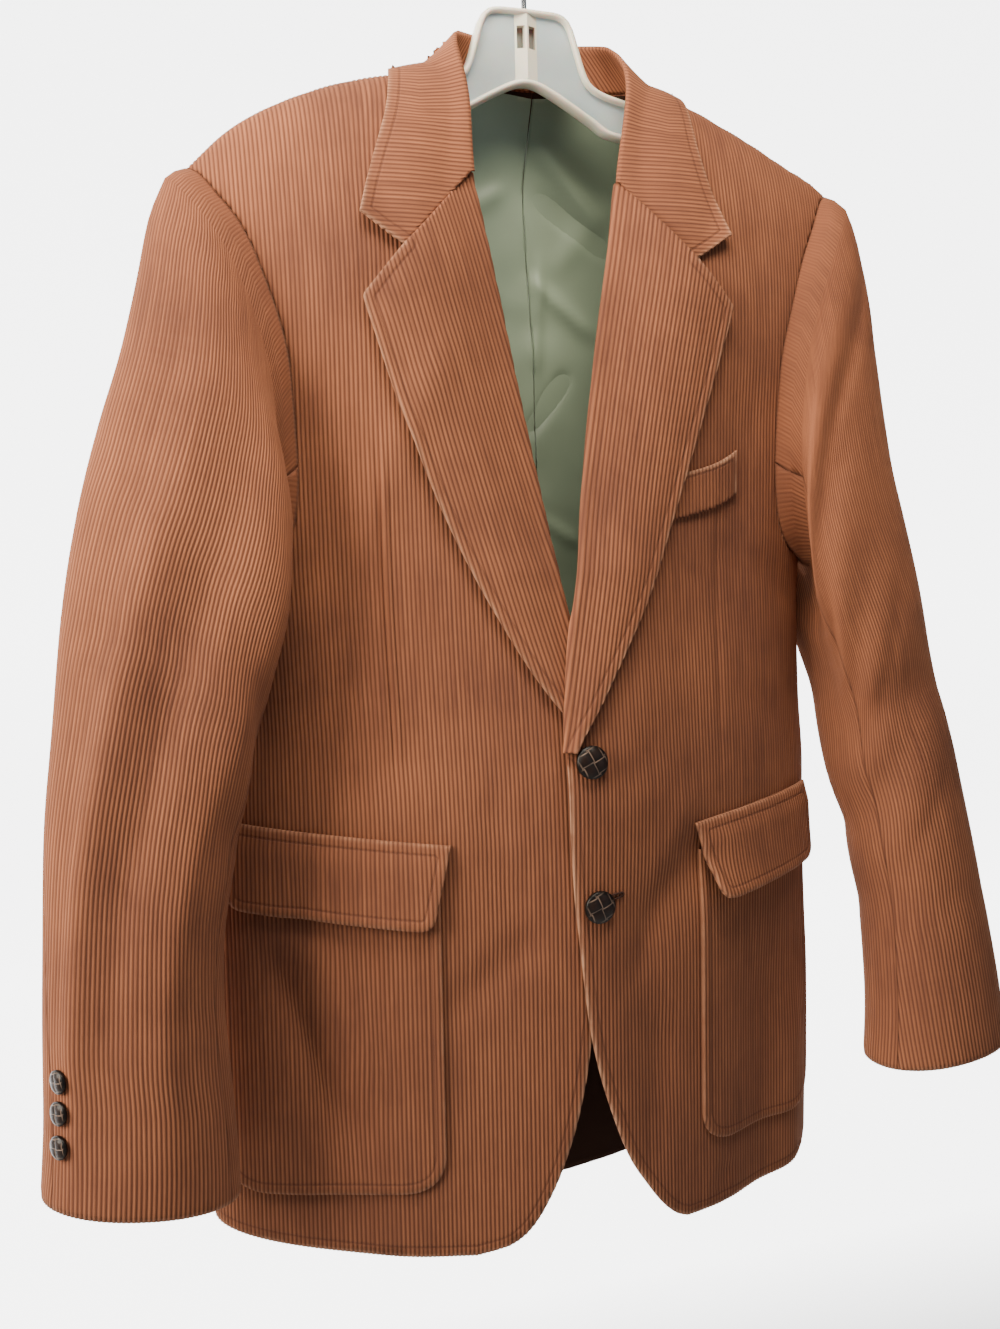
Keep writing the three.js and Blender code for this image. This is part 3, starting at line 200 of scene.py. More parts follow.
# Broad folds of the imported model, then the finer creases: which face they are on, their two ends in x and
# z, how wide they are and how high.
FOLDS = [
    (-1, 92, -640, 40, -705, 22, -5),
    (-1, 150, -905, 150, -700, 26, -6),
    (-1, 185, -905, 180, -760, 20, 4),
    (-1, -195, -700, -150, -850, 20, -6),
    (-1, -120, -905, -110, -560, 30, 3),
    (-1, 150, -330, 120, -500, 22, -3),
    (-1, -160, -330, -130, -520, 24, -3),
    (1, -90, -900, -70, -480, 26, 7),
    (1, 80, -900, 95, -430, 24, 8),
    (1, 10, -900, -5, -560, 24, -5),
    (1, 150, -900, 160, -560, 20, -6),
    (1, -155, -900, -160, -520, 20, -5),
]
CREASES = [
    (-1, 70, -655, 30, -735, 9, -1.6),
    (-1, 60, -760, 48, -880, 13, -1.8),
    (-1, 118, -880, 108, -905, 9, -2.2),
    (-1, -62, -600, -40, -700, 12, -1.4),
    (-1, -150, -590, -95, -560, 11, -1.6),
    (-1, -185, -545, -120, -510, 10, -1.5),
    (-1, -196, -470, -150, -430, 9, -1.8),
    (-1, 190, -480, 150, -440, 9, -2.0),
    (-1, 178, -560, 120, -530, 11, -1.4),
    (-1, -100, -230, -135, -290, 10, -1.2),
    (-1, 150, -215, 165, -290, 9, -1.4),
    (-1, -122, -372, -118, -600, 1.8, -1.8),
    (-1, -118.8, -372, -114.8, -600, 1.6, 1.5),
    (-1, 118, -420, 112, -600, 2.6, -1.2),
    (-1, 128, -437, 112, -452, 3.5, -1.0),
    (-1, 112, -452, 82, -452, 3.5, -0.9),
    (-1, 86, -600, 52, -672, 12, 2.2),
    (-1, -30, -690, -96, -742, 12, -2.4),
    (-1, -40, -640, -90, -610, 12, 1.5),
    (-1, -176, -680, -136, -800, 13, 3.2),
    (-1, -200, -690, -158, -816, 9, -3.0),
    (-1, -178, -640, -172, -860, 10, -1.6),
    (-1, 30, -590, 70, -560, 10, -1.5),
    (-1, 40, -700, 66, -830, 16, -2.2),
    (-1, -76, -300, -150, -460, 14, 1.6),
    (1, -60, -210, -20, -255, 10, -1.6),
    (1, 70, -190, 25, -240, 9, -1.3),
    (1, -150, -420, -90, -470, 11, -1.8),
    (1, 160, -410, 100, -455, 10, -1.6),
    (1, -30, -640, 35, -700, 12, -1.5),
]
LAP = {"x": 8, "lift": 1.7, "width": 90}
CROSSING = {"x": 6, "z": -530, "lift": 5.6, "wide": 30, "fade_x": 60, "tall": 58, "fade_z": 90}


def half_width(x, z):
    return np.where(x < 0, BODY["right"](z), BODY["left"](z))


def plain_depth(share, z, way):
    if way > 0:
        return BODY["back"](z) * (1 - share ** 2.4) ** 0.5
    return BODY["front"](z) * (1 - share ** BODY["round"](z)) ** (1 / 1.7)


# Depth of the body's front (way -1) or back (way 1) from the side seams.
def body_depth(x, z, way):
    share = np.minimum(np.abs(x) / half_width(x, z), 1)
    depth = plain_depth(share, z, way)
    if way > 0:
        return depth
    up = np.clip((z - HOLLOW["bottom"]) / (HOLLOW["top"] - HOLLOW["bottom"]), 0, 1)
    return depth * (1 - HOLLOW["share"] * bell(x, HOLLOW["width"]) * up)


def fold_height(x, z, way):
    total = np.zeros(np.broadcast(x, z).shape)
    for face, *ends, wide, height in FOLDS + CREASES:
        if face != way:
            continue
        along, off = beside(x, z, *ends)
        # A fold that starts at the hem has its full height there.
        start = 1 if ends[1] < AT_HEM_Z else ease((along + 0.15) / 0.3)
        total += height * bell(off, wide) * start * ease((1.1 - along) / 0.45)
    return total * ease((1 - np.abs(x) / half_width(x, z)) / 0.12)


def body_point(x, z, way):
    drop = BACK_DROP if way > 0 else FRONT_DROP
    fall = np.clip((SHOULDER(np.abs(x)) - z) / drop, 0, 1)
    depth = body_depth(x, z, way) * np.sqrt(1 - (1 - fall) ** 2)
    return point(x, way * (depth + fold_height(x, z, way)), z)


# The wearer's left front lies over the right one, and further out where the lapels cross.
def front_point(x, z, side):
    p = body_point(x, z, -1)
    near = LAP["lift"] * bell(x - LAP["x"], LAP["width"])
    if side == RIGHT:
        p[..., 1] += near
        return p
    across = ease(1 - (np.abs(x - CROSSING["x"]) - CROSSING["wide"]) / CROSSING["fade_x"])
    along = ease(1 - (np.abs(z - CROSSING["z"]) - CROSSING["tall"]) / CROSSING["fade_z"])
    p[..., 1] -= near + CROSSING["lift"] * across * along
    return p


def front_normal(x, z, side):
    d = 0.5
    reach = half_width(x, z) - 0.6
    cx = np.clip(x, -reach, reach)
    dx = front_point(cx + d, z, side) - front_point(cx - d, z, side)
    dz = front_point(cx, z + d, side) - front_point(cx, z - d, side)
    return unit(np.cross(dx, dz))


# Cloth coordinates of a front (way -1) or back (way 1): mm round the body from its middle, which the wales
# keep to, and mm up over it to the shoulder.
class BodyCloth:
    LEVEL_STEP = 5.0
    LEVELS = np.arange(-930.0, -50.0, LEVEL_STEP)
    TURNS = np.linspace(-math.pi / 2, math.pi / 2, 241)
    REACH = 360
    SHOULDER_DEPTH = 50

    def __init__(self, way):
        z, turn = np.meshgrid(self.LEVELS, self.TURNS, indexing="ij")
        share = np.abs(np.sin(turn))
        x = np.where(turn < 0, BODY["right"](z), BODY["left"](z)) * np.sin(turn)
        y = plain_depth(np.minimum(share, 1), z, way)
        run = running(np.hypot(np.diff(x, axis=1), np.diff(y, axis=1)))
        self.run = run - run[:, len(self.TURNS) // 2][:, None]
        runs = np.arange(-self.REACH, self.REACH + 1.0)
        self.turn = np.array([np.interp(runs, row, self.TURNS) for row in self.run])
        self.drop = BACK_DROP if way > 0 else FRONT_DROP
        a = np.linspace(0, math.pi / 2, 200)
        self.falls = self.drop * (1 - np.cos(a))
        self.bends = running(np.hypot(np.diff(self.falls), np.diff(self.SHOULDER_DEPTH * np.sin(a))))

    def row_of(self, z):
        return (z - self.LEVELS[0]) / self.LEVEL_STEP

    # Cloth coordinates of places on the body.
    def flat(self, x, z):
        turn = np.arcsin(np.clip(x / half_width(x, z), -1, 1))
        j = (turn + math.pi / 2) / math.pi * (len(self.TURNS) - 1)
        ridge = SHOULDER(np.abs(x))
        fall = np.maximum(ridge - z, 0)
        bent = np.interp(fall, self.falls, self.bends) + np.maximum(fall - self.drop, 0)
        return np.stack([between(self.run, self.row_of(z), j), ridge - bent], axis=-1)

    # Places on the body, x and z, of cloth coordinates.
    def place(self, s, q):
        z = q + self.bends[-1] - self.drop
        for _ in range(6):
            turn = between(self.turn, self.row_of(z), s + self.REACH)
            half = np.where(turn < 0, BODY["right"](z), BODY["left"](z))
            x = half * np.sin(turn)
            ridge = SHOULDER(np.abs(x))
            bent = np.maximum(ridge - q, 0)
            z = ridge - np.interp(bent, self.bends, self.falls) - np.maximum(bent - self.bends[-1], 0)
        return x, z


FRONT_CLOTH = BodyCloth(-1)
BACK_CLOTH = BodyCloth(1)


# Sections, each a kind and points in x and z, in a cloth's coordinates.
def laid_flat(cloth, sections):
    return [(kind, cloth.flat(pts[:, 0], pts[:, 1])) for kind, pts in sections]


# Cutting and sewing: a piece's outline is a list of sections, each "turned" (a finished edge) or "seam".
def outline_of(sections):
    points = np.concatenate([pts[:-1] for _, pts in sections])
    keep = np.linalg.norm(points - np.roll(points, 1, axis=0), axis=1) > 0.02
    return points[keep]


# Area inside a loop of flat points, negative where the loop runs clockwise.
def signed_area(p):
    x, y = p.T
    return (np.dot(x, np.roll(y, -1)) - np.dot(y, np.roll(x, -1))) / 2


# A flat outline cut by lines at set places across, then along, into cells. Each cut works on what lies
# ahead of it only.
def cut_cloth(outline, lines):
    bm = bmesh.new()
    bm.faces.new([bm.verts.new((x, y, 0)) for x, y in outline])
    for axis, places in enumerate(lines):
        ahead = list(bm.faces)
        for at in places:
            edges = {e for f in ahead for e in f.edges}
            verts = {v for f in ahead for v in f.verts}
            where, way = Vector((0, 0, 0)), Vector((0, 0, 0))
            where[axis], way[axis] = at, 1
            geom = [*ahead, *edges, *verts]
            cut = bmesh.ops.bisect_plane(bm, geom=geom, dist=1e-4, plane_co=where, plane_no=way)
            faces = [g for g in cut["geom"] if isinstance(g, bmesh.types.BMFace)]
            ahead = [f for f in faces if f.calc_center_median()[axis] > at]
            if not ahead:
                break
    bmesh.ops.dissolve_degenerate(bm, dist=0.002, edges=bm.edges[:])
    bm.verts.index_update()
    flat = np.array([v.co[:2] for v in bm.verts])
    faces = [[v.index for v in f.verts] for f in bm.faces]
    bm.free()
    if sum(signed_area(flat[f]) for f in faces) < 0:
        faces = [f[::-1] for f in faces]
    return flat, faces


def wale_cuts(low, high):
    first, last = math.floor(low / WALE), math.ceil(high / WALE)
    return [(k + part) * WALE for k in range(first, last + 1) for part in WALE_LINES]


def wale_height(s):
    parts = [*WALE_LINES, 1.0]
    heights = [*WALE_LINES.values(), WALE_LINES[0.0]]
    return np.interp(np.mod(s / WALE, 1), parts, heights)


# Distance of points from a polyline, at most FAR, and how far along it the nearest place is.
def from_line(points, line):
    best = np.full(len(points), FAR)
    run = np.zeros(len(points))
    start = 0.0
    for a, b in zip(line[:-1], line[1:]):
        length = max(np.linalg.norm(b - a), 1e-6)
        share = np.clip((points - a) @ (b - a) / length**2, 0, 1)
        off = np.linalg.norm(points - a - share[:, None] * (b - a), axis=1)
        nearer = off < best
        best = np.where(nearer, off, best)
        run = np.where(nearer, start + share * length, run)
        start += length
    return best, run


# Heights after the tilt of the shoulders and the hanger.
def tilt(x, z):
    return z - TILT["share"] * ease((z - TILT["z"]) / TILT["tall"]) * x


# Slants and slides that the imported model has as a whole.
def warp(p):
    x, y, z = np.moveaxis(p, -1, 0).copy()
    z = tilt(x, z)
    fade = ease((SKEW["fade"] - np.abs(x)) / SKEW["fade_over"])
    x += SKEW["x"] * ease((z - SKEW["z"]) / SKEW["tall"]) * fade
    end = bell(np.abs(x) - SLEEVEHEAD["x"], SLEEVEHEAD["wide"])
    high = ease((z - SLEEVEHEAD["z"]) / SLEEVEHEAD["tall"])
    z += np.where(x < 0, SLEEVEHEAD["right"], SLEEVEHEAD["left"]) * end * high
    return np.stack([x, y, z], axis=-1)


def surface_normal(place, s, q, facing):
    d = 0.7
    across = place(s + d, q) - place(s - d, q)
    up = place(s, q + d) - place(s, q - d)
    return facing * unit(np.cross(across, up))


def make_object(name, verts, faces, materials, smooth_faces=True):
    mesh = bpy.data.meshes.new(name)
    mesh.from_pydata((np.asarray(verts) * MM).tolist(), [], faces)
    mesh.update()
    mesh.polygons.foreach_set("use_smooth", [smooth_faces] * len(mesh.polygons))
    for material in materials:
        mesh.materials.append(material)
    obj = bpy.data.objects.new(name, mesh)
    bpy.context.scene.collection.objects.link(obj)
    return obj


def set_attribute(mesh, name, values):
    layer = mesh.attributes.new(name, "FLOAT", "POINT")
    layer.data.foreach_set("value", np.asarray(values, np.float32))


# Back faces and edge walls that close a sheet of faces. Its back points follow its `count` front ones.
def close_sheet(faces, count):
    open_edges = {}
    for f in faces:
        for a, b in zip(f, f[1:] + f[:1]):
            if open_edges.pop((b, a), None) is None:
                open_edges[(a, b)] = True
    back = [[i + count for i in f[::-1]] for f in faces]
    walls = [[b, a, a + count, b + count] for a, b in open_edges]
    return back, walls


# Faces of a closed tube, from its rings of points in order.
def ring_faces(rings, around):
    def corner(i, j):
        return i % rings * around + j % around

    return [
        [corner(i, j), corner(i, j + 1), corner(i + 1, j + 1), corner(i + 1, j)]
        for i in range(rings) for j in range(around)
    ]


def declare(obj, replaced=None):
    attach(obj, "root")
    if replaced:
        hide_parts(replaced)


# Distances of points on a piece from its turned edges and its seams, and how far along a turned edge.
def edge_distances(sections, place, points):
    turned, seam = np.full(len(points), FAR), np.full(len(points), FAR)
    run = np.zeros(len(points))
    for kind, pts in sections:
        off, at = from_line(points, place(pts[:, 0], pts[:, 1]))
        if kind == "turned":
            run = np.where(off < turned, at, run)
            turned = np.minimum(turned, off)
        elif kind == "seam":
            seam = np.minimum(seam, off)
    return turned, seam, run


# Texture coordinates of a piece's two faces, from its flat points.
def set_uv(mesh, flat):
    uv = mesh.uv_layers.new(name="cloth")
    corners = np.zeros(len(mesh.loops), np.int32)
    mesh.loops.foreach_get("vertex_index", corners)
    uv.data.foreach_set("uv", (np.tile(flat, (2, 1))[corners] / WALE / UV_WALES).ravel())


# A sewn piece: its outline cut into cells, placed, given thickness and wales, and declared as cloth.
#   place    cloth coordinates to points on the piece's outer face
#   facing   1 or -1, which side of the cloth is outside
#   puff     extra height of the outer face, from the distances to turned edges and seams
#   limit    keeps points on their own side of a seam
def sew(name, sections, place, facing, thick, rows, materials, puff=None, limit=None, wales=True, out=0):
    outline = outline_of(sections)
    low, high = outline.min(axis=0), outline.max(axis=0)
    across = wale_cuts(low[0], high[0]) if wales else np.arange(low[0], high[0], rows * 0.6)
    along = np.arange(low[1] + rows * 0.5, high[1], rows)
    flat, faces = cut_cloth(outline, (across, along))
    s, q = flat.T
    normal = surface_normal(place, s, q, facing)
    base = place(s, q) + out * normal
    turned, seam, run = edge_distances(sections, place, base)
    height = wale_height(s) if wales else np.zeros(len(s))
    height -= EDGE_ROUND["deep"] * np.clip(1 - turned / EDGE_ROUND["wide"], 0, 1) ** 2
    if puff:
        height += puff(s, q, turned, seam)
    outer = base + height[:, None] * normal
    inner = base - thick * normal
    if limit:
        outer, inner = limit(outer), limit(inner)
    count = len(s)
    outward = np.cross(*(outer[[f[k] for f in faces]] - outer[[f[0] for f in faces]] for k in (1, 2)))
    agree = np.sum(outward * normal[[f[0] for f in faces]])
    if agree < 0:
        faces = [f[::-1] for f in faces]
    back, rim = close_sheet(faces, count)
    verts = warp(np.concatenate([outer, inner]))
    obj = make_object(f"cloth_{name}", verts, faces + back + rim, materials)
    inside = [0] * len(faces) + [len(materials) - 1] * len(back) + [0] * len(rim)
    obj.data.polygons.foreach_set("material_index", inside)
    for key, values in (("turned", turned), ("run", run), ("seam", seam)):
        set_attribute(obj.data, key, np.tile(values, 2))
    set_uv(obj.data, flat)
    declare(obj, name)


# Node materials
class Nodes:
    def __init__(self, name):
        self.material = bpy.data.materials.new(name)
        self.material.use_nodes = True
        self.tree = self.material.node_tree
        self.shader = self.tree.nodes["Principled BSDF"]

    def add(self, kind, inputs=(), **settings):
        node = self.tree.nodes.new("ShaderNode" + kind)
        for key, value in settings.items():
            setattr(node, key, value)
        for key, value in dict(inputs).items():
            self.set(node.inputs[key], value)
        return node

    def set(self, socket, value):
        if isinstance(value, bpy.types.NodeSocket):
            self.tree.links.new(value, socket)
        else:
            socket.default_value = value

    def math(self, operation, *values, clamp=False):
        node = self.add("Math", operation=operation, use_clamp=clamp)
        for socket, value in zip(node.inputs, values):
            self.set(socket, value)
        return node.outputs[0]

    def times(self, a, b):
        return self.math("MULTIPLY", a, b)

    # `colour` drawn towards `tone` by the product of `value` and `share`.
    def toward(self, colour, tone, value, share):
        return self.mix(self.times(value, share), colour, tone)

    def base(self, colour):
        self.set(self.shader.inputs["Base Color"], colour)

    def place(self):
        return self.add("TexCoord").outputs["Object"]

    # Cloth coordinates in wales.
    def cloth(self):
        uv = self.add("UVMap", uv_map="cloth").outputs[0]
        return self.add("VectorMath", {0: uv, 3: UV_WALES}, operation="SCALE").outputs[0]

    def part(self, vector, axis):
        return self.add("SeparateXYZ", {0: vector}).outputs[axis]

    def attribute(self, name):
        return self.add("Attribute", attribute_name=name).outputs["Fac"]

    # 1 near `centre`, falling away over `wide` to each side.
    def band(self, value, centre, wide):
        off = self.math("DIVIDE", self.math("SUBTRACT", value, centre), wide)
        return self.math("EXPONENT", self.times(self.times(off, off), -1.0))

    def mix(self, share, a, b):
        node = self.add("Mix", data_type="RGBA", blend_type="MIX")
        self.set(node.inputs[0], share)
        for socket, value in ((node.inputs[6], a), (node.inputs[7], b)):
            self.set(socket, (*value, 1) if isinstance(value, tuple) and len(value) == 3 else value)
        return node.outputs[2]

    def noise(self, where, scale, detail=3.0, roughness=0.55):
        inputs = {"Vector": where, "Scale": scale, "Detail": detail, "Roughness": roughness}
        return self.add("TexNoise", inputs).outputs["Fac"]

    def ramp(self, value, low, high, to_low=0.0, to_high=1.0):
        inputs = {0: value, 1: low, 2: high, 3: to_low, 4: to_high}
        return self.add("MapRange", inputs, clamp=True).outputs[0]

    def stretched(self, where, scale):
        return self.add("Mapping", {"Vector": where, "Scale": scale}).outputs[0]

    def bump(self, height, distance, strength=1.0):
        inputs = {"Height": height, "Distance": distance, "Strength": strength}
        self.set(self.shader.inputs["Normal"], self.add("Bump", inputs).outputs[0])

    def set_all(self, **values):
        for key, value in values.items():
            socket = self.shader.inputs[key.replace("_", " ").title().replace("Ior", "IOR")]
            self.set(socket, (*value, 1) if isinstance(value, tuple) else value)


RIDGE = (0.265, 0.092, 0.043)
RIDGE_DARK = (0.15, 0.056, 0.032)
# Wales' tops: rubbed wear and painted highlight
RIDGE_TOP_WEAR_AND_HIGHLIGHT = (0.43, 0.168, 0.08)
# Painted shade for the wales' grooves, the topstitching's groove and the seams
GROOVE_SHADE = (0.074, 0.029, 0.02)
WORN = (0.52, 0.28, 0.17)
INSIDE = (0.05, 0.022, 0.014)
SAGE = (0.275, 0.345, 0.24)
SAGE_DARK = (0.17, 0.215, 0.15)
# Painted shade along the lining's seam
SAGE_SEAM_SHADE = (0.07, 0.085, 0.055)
# Heights, in metres, between which painted shade darkens the cloth towards the hem, for the top light's
# fall-off
HEM_PAINTED_SHADE = (-0.82, -0.45)
TOPSTITCH = 7.0
STITCH_STEP = 3.4


# Corduroy's pile side. `stitch` is the topstitching's distance from turned edges, 0 for none. Along the
# first `flat` mm of a piece its wales are pressed flat.
def corduroy(name, stitch=TOPSTITCH, wear=1.0, flat=0):
    n = Nodes(name)
    cloth, place = n.cloth(), n.place()
    turned, seam, run = n.attribute("turned"), n.attribute("seam"), n.attribute("run")
    phase = n.math("FRACT", n.part(cloth, 0))
    valley = n.math("ADD", n.band(phase, 0.0, 0.17), n.band(phase, 1.0, 0.17), clamp=True)
    ridge = n.band(phase, 0.5, 0.24)
    if flat:
        plain = n.ramp(n.part(cloth, 1), -flat / WALE, -0.3 * flat / WALE, 1.0, 0.3)
        valley, ridge = n.times(valley, plain), n.times(ridge, plain)
    pile = n.noise(n.stretched(cloth, (4.0, 0.9, 1.0)), 3.0, 4.0, 0.7)
    streak = n.noise(n.stretched(cloth, (1.0, 0.035, 1.0)), 1.3, 2.0)
    cloud = n.noise(place, 9.0, 4.0, 0.6)
    tone = n.math("ADD", n.times(cloud, 0.75), n.times(streak, 0.5))
    colour = n.mix(n.ramp(tone, 0.42, 0.84), RIDGE_DARK, RIDGE)
    # Painted shade: the cloth is darker towards the hem, where the top light falls off.
    colour = n.mix(n.ramp(n.part(place, 2), *HEM_PAINTED_SHADE, 0.5, 0.0), colour, RIDGE_DARK)
    # The wales' tops are lighter, in patches that run along them: partly rubbed wear, partly painted
    # highlight.
    colour = n.toward(colour, RIDGE_TOP_WEAR_AND_HIGHLIGHT, ridge, n.ramp(tone, 0.46, 0.8, 0.05, 0.72))
    colour = n.mix(n.ramp(pile, 0.3, 0.75, 0.0, 0.3), colour, RIDGE_DARK)
    rubbed = n.times(n.band(turned, 0.4, 1.7), n.ramp(n.noise(place, 60.0), 0.35, 0.6, 0.35, 1.0))
    colour = n.toward(colour, WORN, rubbed, 0.62 * wear)
    # Painted shade in the grooves between the wales.
    colour = n.toward(colour, GROOVE_SHADE, valley, 0.66)
    height = n.times(pile, 0.22)
    if stitch:
        line = n.band(turned, stitch, 0.75)
        dash = n.math("LESS_THAN", n.math("FRACT", n.math("DIVIDE", run, STITCH_STEP)), 0.72)
        thread = n.times(n.band(turned, stitch, 0.35), dash)
        # Painted shade in the topstitching's groove.
        colour = n.toward(colour, GROOVE_SHADE, line, 0.45)
        height = n.math("SUBTRACT", height, n.times(line, 0.55))
        height = n.math("ADD", height, n.times(thread, 0.3))
    # Painted shade along the seams, beside their bumped dip.
    n.base(n.toward(colour, GROOVE_SHADE, n.band(seam, 0.0, 1.0), 0.5))
    height = n.math("SUBTRACT", height, n.times(n.band(seam, 0.0, 1.6), 0.5))
    height = n.math("SUBTRACT", height, n.times(valley, 0.15))
    n.bump(height, 0.001, 0.8)
    n.set_all(roughness=0.92, specular_ior_level=0.12, sheen_weight=0.06, sheen_roughness=0.45,
              sheen_tint=(0.95, 0.6, 0.4))
    return n.material


# The plain woven back of the cloth.
def plain_weave(name, colour):
    n = Nodes(name)
    inputs = {"Vector": n.stretched(n.cloth(), (1.0, 1.6, 1.0)), "Scale": 2.4, "Distortion": 1.0}
    weave = n.add("TexWave", inputs, bands_direction="DIAGONAL").outputs["Fac"]
    dark = tuple(c * 0.6 for c in colour)
    n.base(n.mix(weave, dark, colour))
    n.bump(weave, 0.0003, 0.6)
    n.set_all(roughness=0.95, specular_ior_level=0.1)
    return n.material


def satin(name):
    n = Nodes(name)
    place = n.place()
    cloud = n.noise(place, 7.0, 3.0)
    fine = n.noise(n.stretched(place, (1.0, 1.0, 0.1)), 1800.0, 2.0)
    seam = n.attribute("seam")
    colour = n.mix(n.ramp(cloud, 0.35, 0.7), SAGE_DARK, SAGE)
    # Painted shade along the seam.
    n.base(n.toward(colour, SAGE_SEAM_SHADE, n.band(seam, 0.0, 0.8), 0.6))
    height = n.math("ADD", n.times(fine, 0.08), n.times(n.band(seam, 0, 1.5), -0.5))
    n.bump(height, 0.001, 0.7)
    n.set_all(roughness=0.42, specular_ior_level=0.5, sheen_weight=0.15, sheen_roughness=0.3)
    return n.material


def leather(name):
    n = Nodes(name)
    place = n.place()
    grain = n.add("TexVoronoi", {"Vector": place, "Scale": 1500.0}).outputs["Distance"]
    high, edge = n.attribute("high"), n.attribute("edge")
    # Painted shade: the lower the woven strips lie, the darker their colour.
    colour = n.mix(n.ramp(high, 0.25, 0.9), (0.003, 0.002, 0.0015), (0.014, 0.007, 0.005))
    n.base(n.toward(colour, (0.36, 0.24, 0.18), edge, 0.5))
    n.bump(grain, 0.00012, 0.5)
    n.set_all(roughness=0.42, specular_ior_level=0.2, coat_weight=0.08, coat_roughness=0.12)
    return n.material


# Milky moulded plastic between two tones, which lets some light through.
def milky_plastic(name, tones, clear):
    n = Nodes(name)
    place = n.place()
    n.base(n.mix(n.ramp(n.noise(place, 16.0), 0.35, 0.65), *tones))
    n.bump(n.noise(place, 240.0, 2.0), 0.0004, 0.3)
    n.set_all(roughness=0.34, specular_ior_level=0.5, subsurface_weight=0.4, subsurface_scale=0.005,
              coat_weight=0.2, coat_roughness=0.15, transmission_weight=clear)
    return n.material


def dark_thread(name):
    n = Nodes(name)
    place = n.place()
    twist = n.noise(n.stretched(place, (1.0, 1.0, 0.4)), 1400.0, 2.0)
    n.base(n.mix(twist, (0.018, 0.007, 0.005), (0.07, 0.028, 0.018)))
    n.bump(twist, 0.0002, 0.8)
    n.set_all(roughness=0.8, specular_ior_level=0.2)
    return n.material


def bright_steel(name):
    n = Nodes(name)
    place = n.place()
    drawn = n.noise(n.stretched(place, (1.0, 1.0, 0.05)), 1500.0, 2.0)
    n.set(n.shader.inputs["Roughness"], n.ramp(drawn, 0.3, 0.7, 0.16, 0.3))
    n.set_all(base_color=(0.48, 0.5, 0.52), metallic=1.0)
    n.bump(drawn, 0.00005, 0.5)
    return n.material


# The backdrop's glow, and the depths in metres between which it comes in, behind the jacket
GLOW = 5.0
GLOW_FROM = (0.2, 0.6)


def backdrop_material(name):
    n = Nodes(name)
    place = n.place()
    n.base(n.mix(n.noise(place, 2.0), (0.4, 0.4, 0.4), (0.42, 0.42, 0.42)))
    n.set(n.shader.inputs["Emission Strength"], n.ramp(n.part(place, 1), *GLOW_FROM, 0.03, GLOW))
    n.set_all(roughness=0.95, emission_color=(1.0, 1.0, 1.0))
    return n.material


CORDUROY = corduroy("corduroy_pile")
INSIDE_CLOTH = plain_weave("corduroy_inside", INSIDE)
SATIN = satin("lining_satin")
LEATHER = leather("woven_leather")
THREAD = dark_thread("dark_thread")
CLOTH = [CORDUROY, INSIDE_CLOTH]
# Beside the armhole the sleeve's wales are pressed flat over this length.
CAP_FLAT = 27
CLOTH_SLEEVE = [corduroy("corduroy_sleeve", stitch=0, wear=0.6, flat=CAP_FLAT), INSIDE_CLOTH]
CLOTH_EDGED = [CORDUROY, CORDUROY]
LAID = corduroy("corduroy_laid", wear=0.4)
CLOTH_LAID = [LAID, LAID]
CLOTH_WELT = [corduroy("corduroy_welt", stitch=3.5), CORDUROY]


# Height of the armhole's seam, at a turn in degrees: 0 at the shoulder, 180 under the arm.
def arm_z(turn):
    return mix(UNDERARM_Z, SHOULDER_POINT[1], 0.5 + 0.5 * np.cos(np.radians(turn)))


# Fronts and backs
def side_edge(side, way):
    v = np.linspace(0, 1, 110)
    low = v[v <= UNDERARM_ROW]
    z = mix(HEM_SIDE_Z[side], UNDERARM_Z, low / UNDERARM_ROW)
    seam = point(side * half_width(side, z), 0, z)[:, [0, 2]]
    turn = 180 * (1 - np.linspace(0, 1, 60))
    column = ARMHOLE["chest"] if way < 0 else ARMHOLE["blade"]
    return seam, np.stack([side * column(turn), arm_z(turn)], axis=1)


def shoulder_edge(side):
    x = np.linspace(SHOULDER_POINT[0], NECK_POINT[0], 40)
    return np.stack([side * x, SHOULDER(x)], axis=1)


def front_open_edge(side):
    z = np.concatenate([
        [-907, -905, -903, -900, -896, -890, -883], np.arange(-874, BREAK_Z, 8.0), [BREAK_Z],
    ])
    below = np.stack([FRONT_EDGE[SIDE_NAME[side]](z), z], axis=1)
    z = np.arange(BREAK_Z + 2, NECK_POINT[1], 6.0)
    above = np.stack([side * ROLL_LINE[SIDE_NAME[side]](z), z], axis=1)
    neck = [[side * NECK_POINT[0], NECK_POINT[1]]]
    return below, np.concatenate([below[-1:], above, neck])


def hem_edge(side, start, end, sag):
    share = np.linspace(0, 1, 60)
    z = mix(start[1], end[1], share)
    half = half_width(side, z)
    turn = np.arcsin(np.clip(side * start[0] / half_width(side, start[1]), -1, 1))
    x = side * half * np.sin(mix(turn, math.pi / 2, share))
    return np.stack([x, z - sag * np.sin(math.pi * share)], axis=1)


def sew_front(side):
    below, above = front_open_edge(side)
    seam, arm = side_edge(side, -1)
    hem = hem_edge(side, below[0], seam[0], HEM_SAG[side])
    sections = laid_flat(FRONT_CLOTH, [
        ("turned", hem), ("seam", seam), ("seam", arm), ("seam", shoulder_edge(side)),
        ("open", above[::-1]), ("turned", below[::-1]),
    ])

    def place(s, q):
        return front_point(*FRONT_CLOTH.place(s, q), side)

    def limit(p):
        p[:, 1] = np.minimum(p[:, 1], -SEAM_GAP / 2)
        return p

    sew(f"front_{SIDE_NAME[side]}", sections, place, 1, SHELL, 9.0, CLOTH, limit=limit)


def back_seam_x(z):
    return mix(BACK_SEAM["low"], BACK_SEAM["neck"], ease((z - BACK_SEAM["z"]) / BACK_SEAM["tall"]))


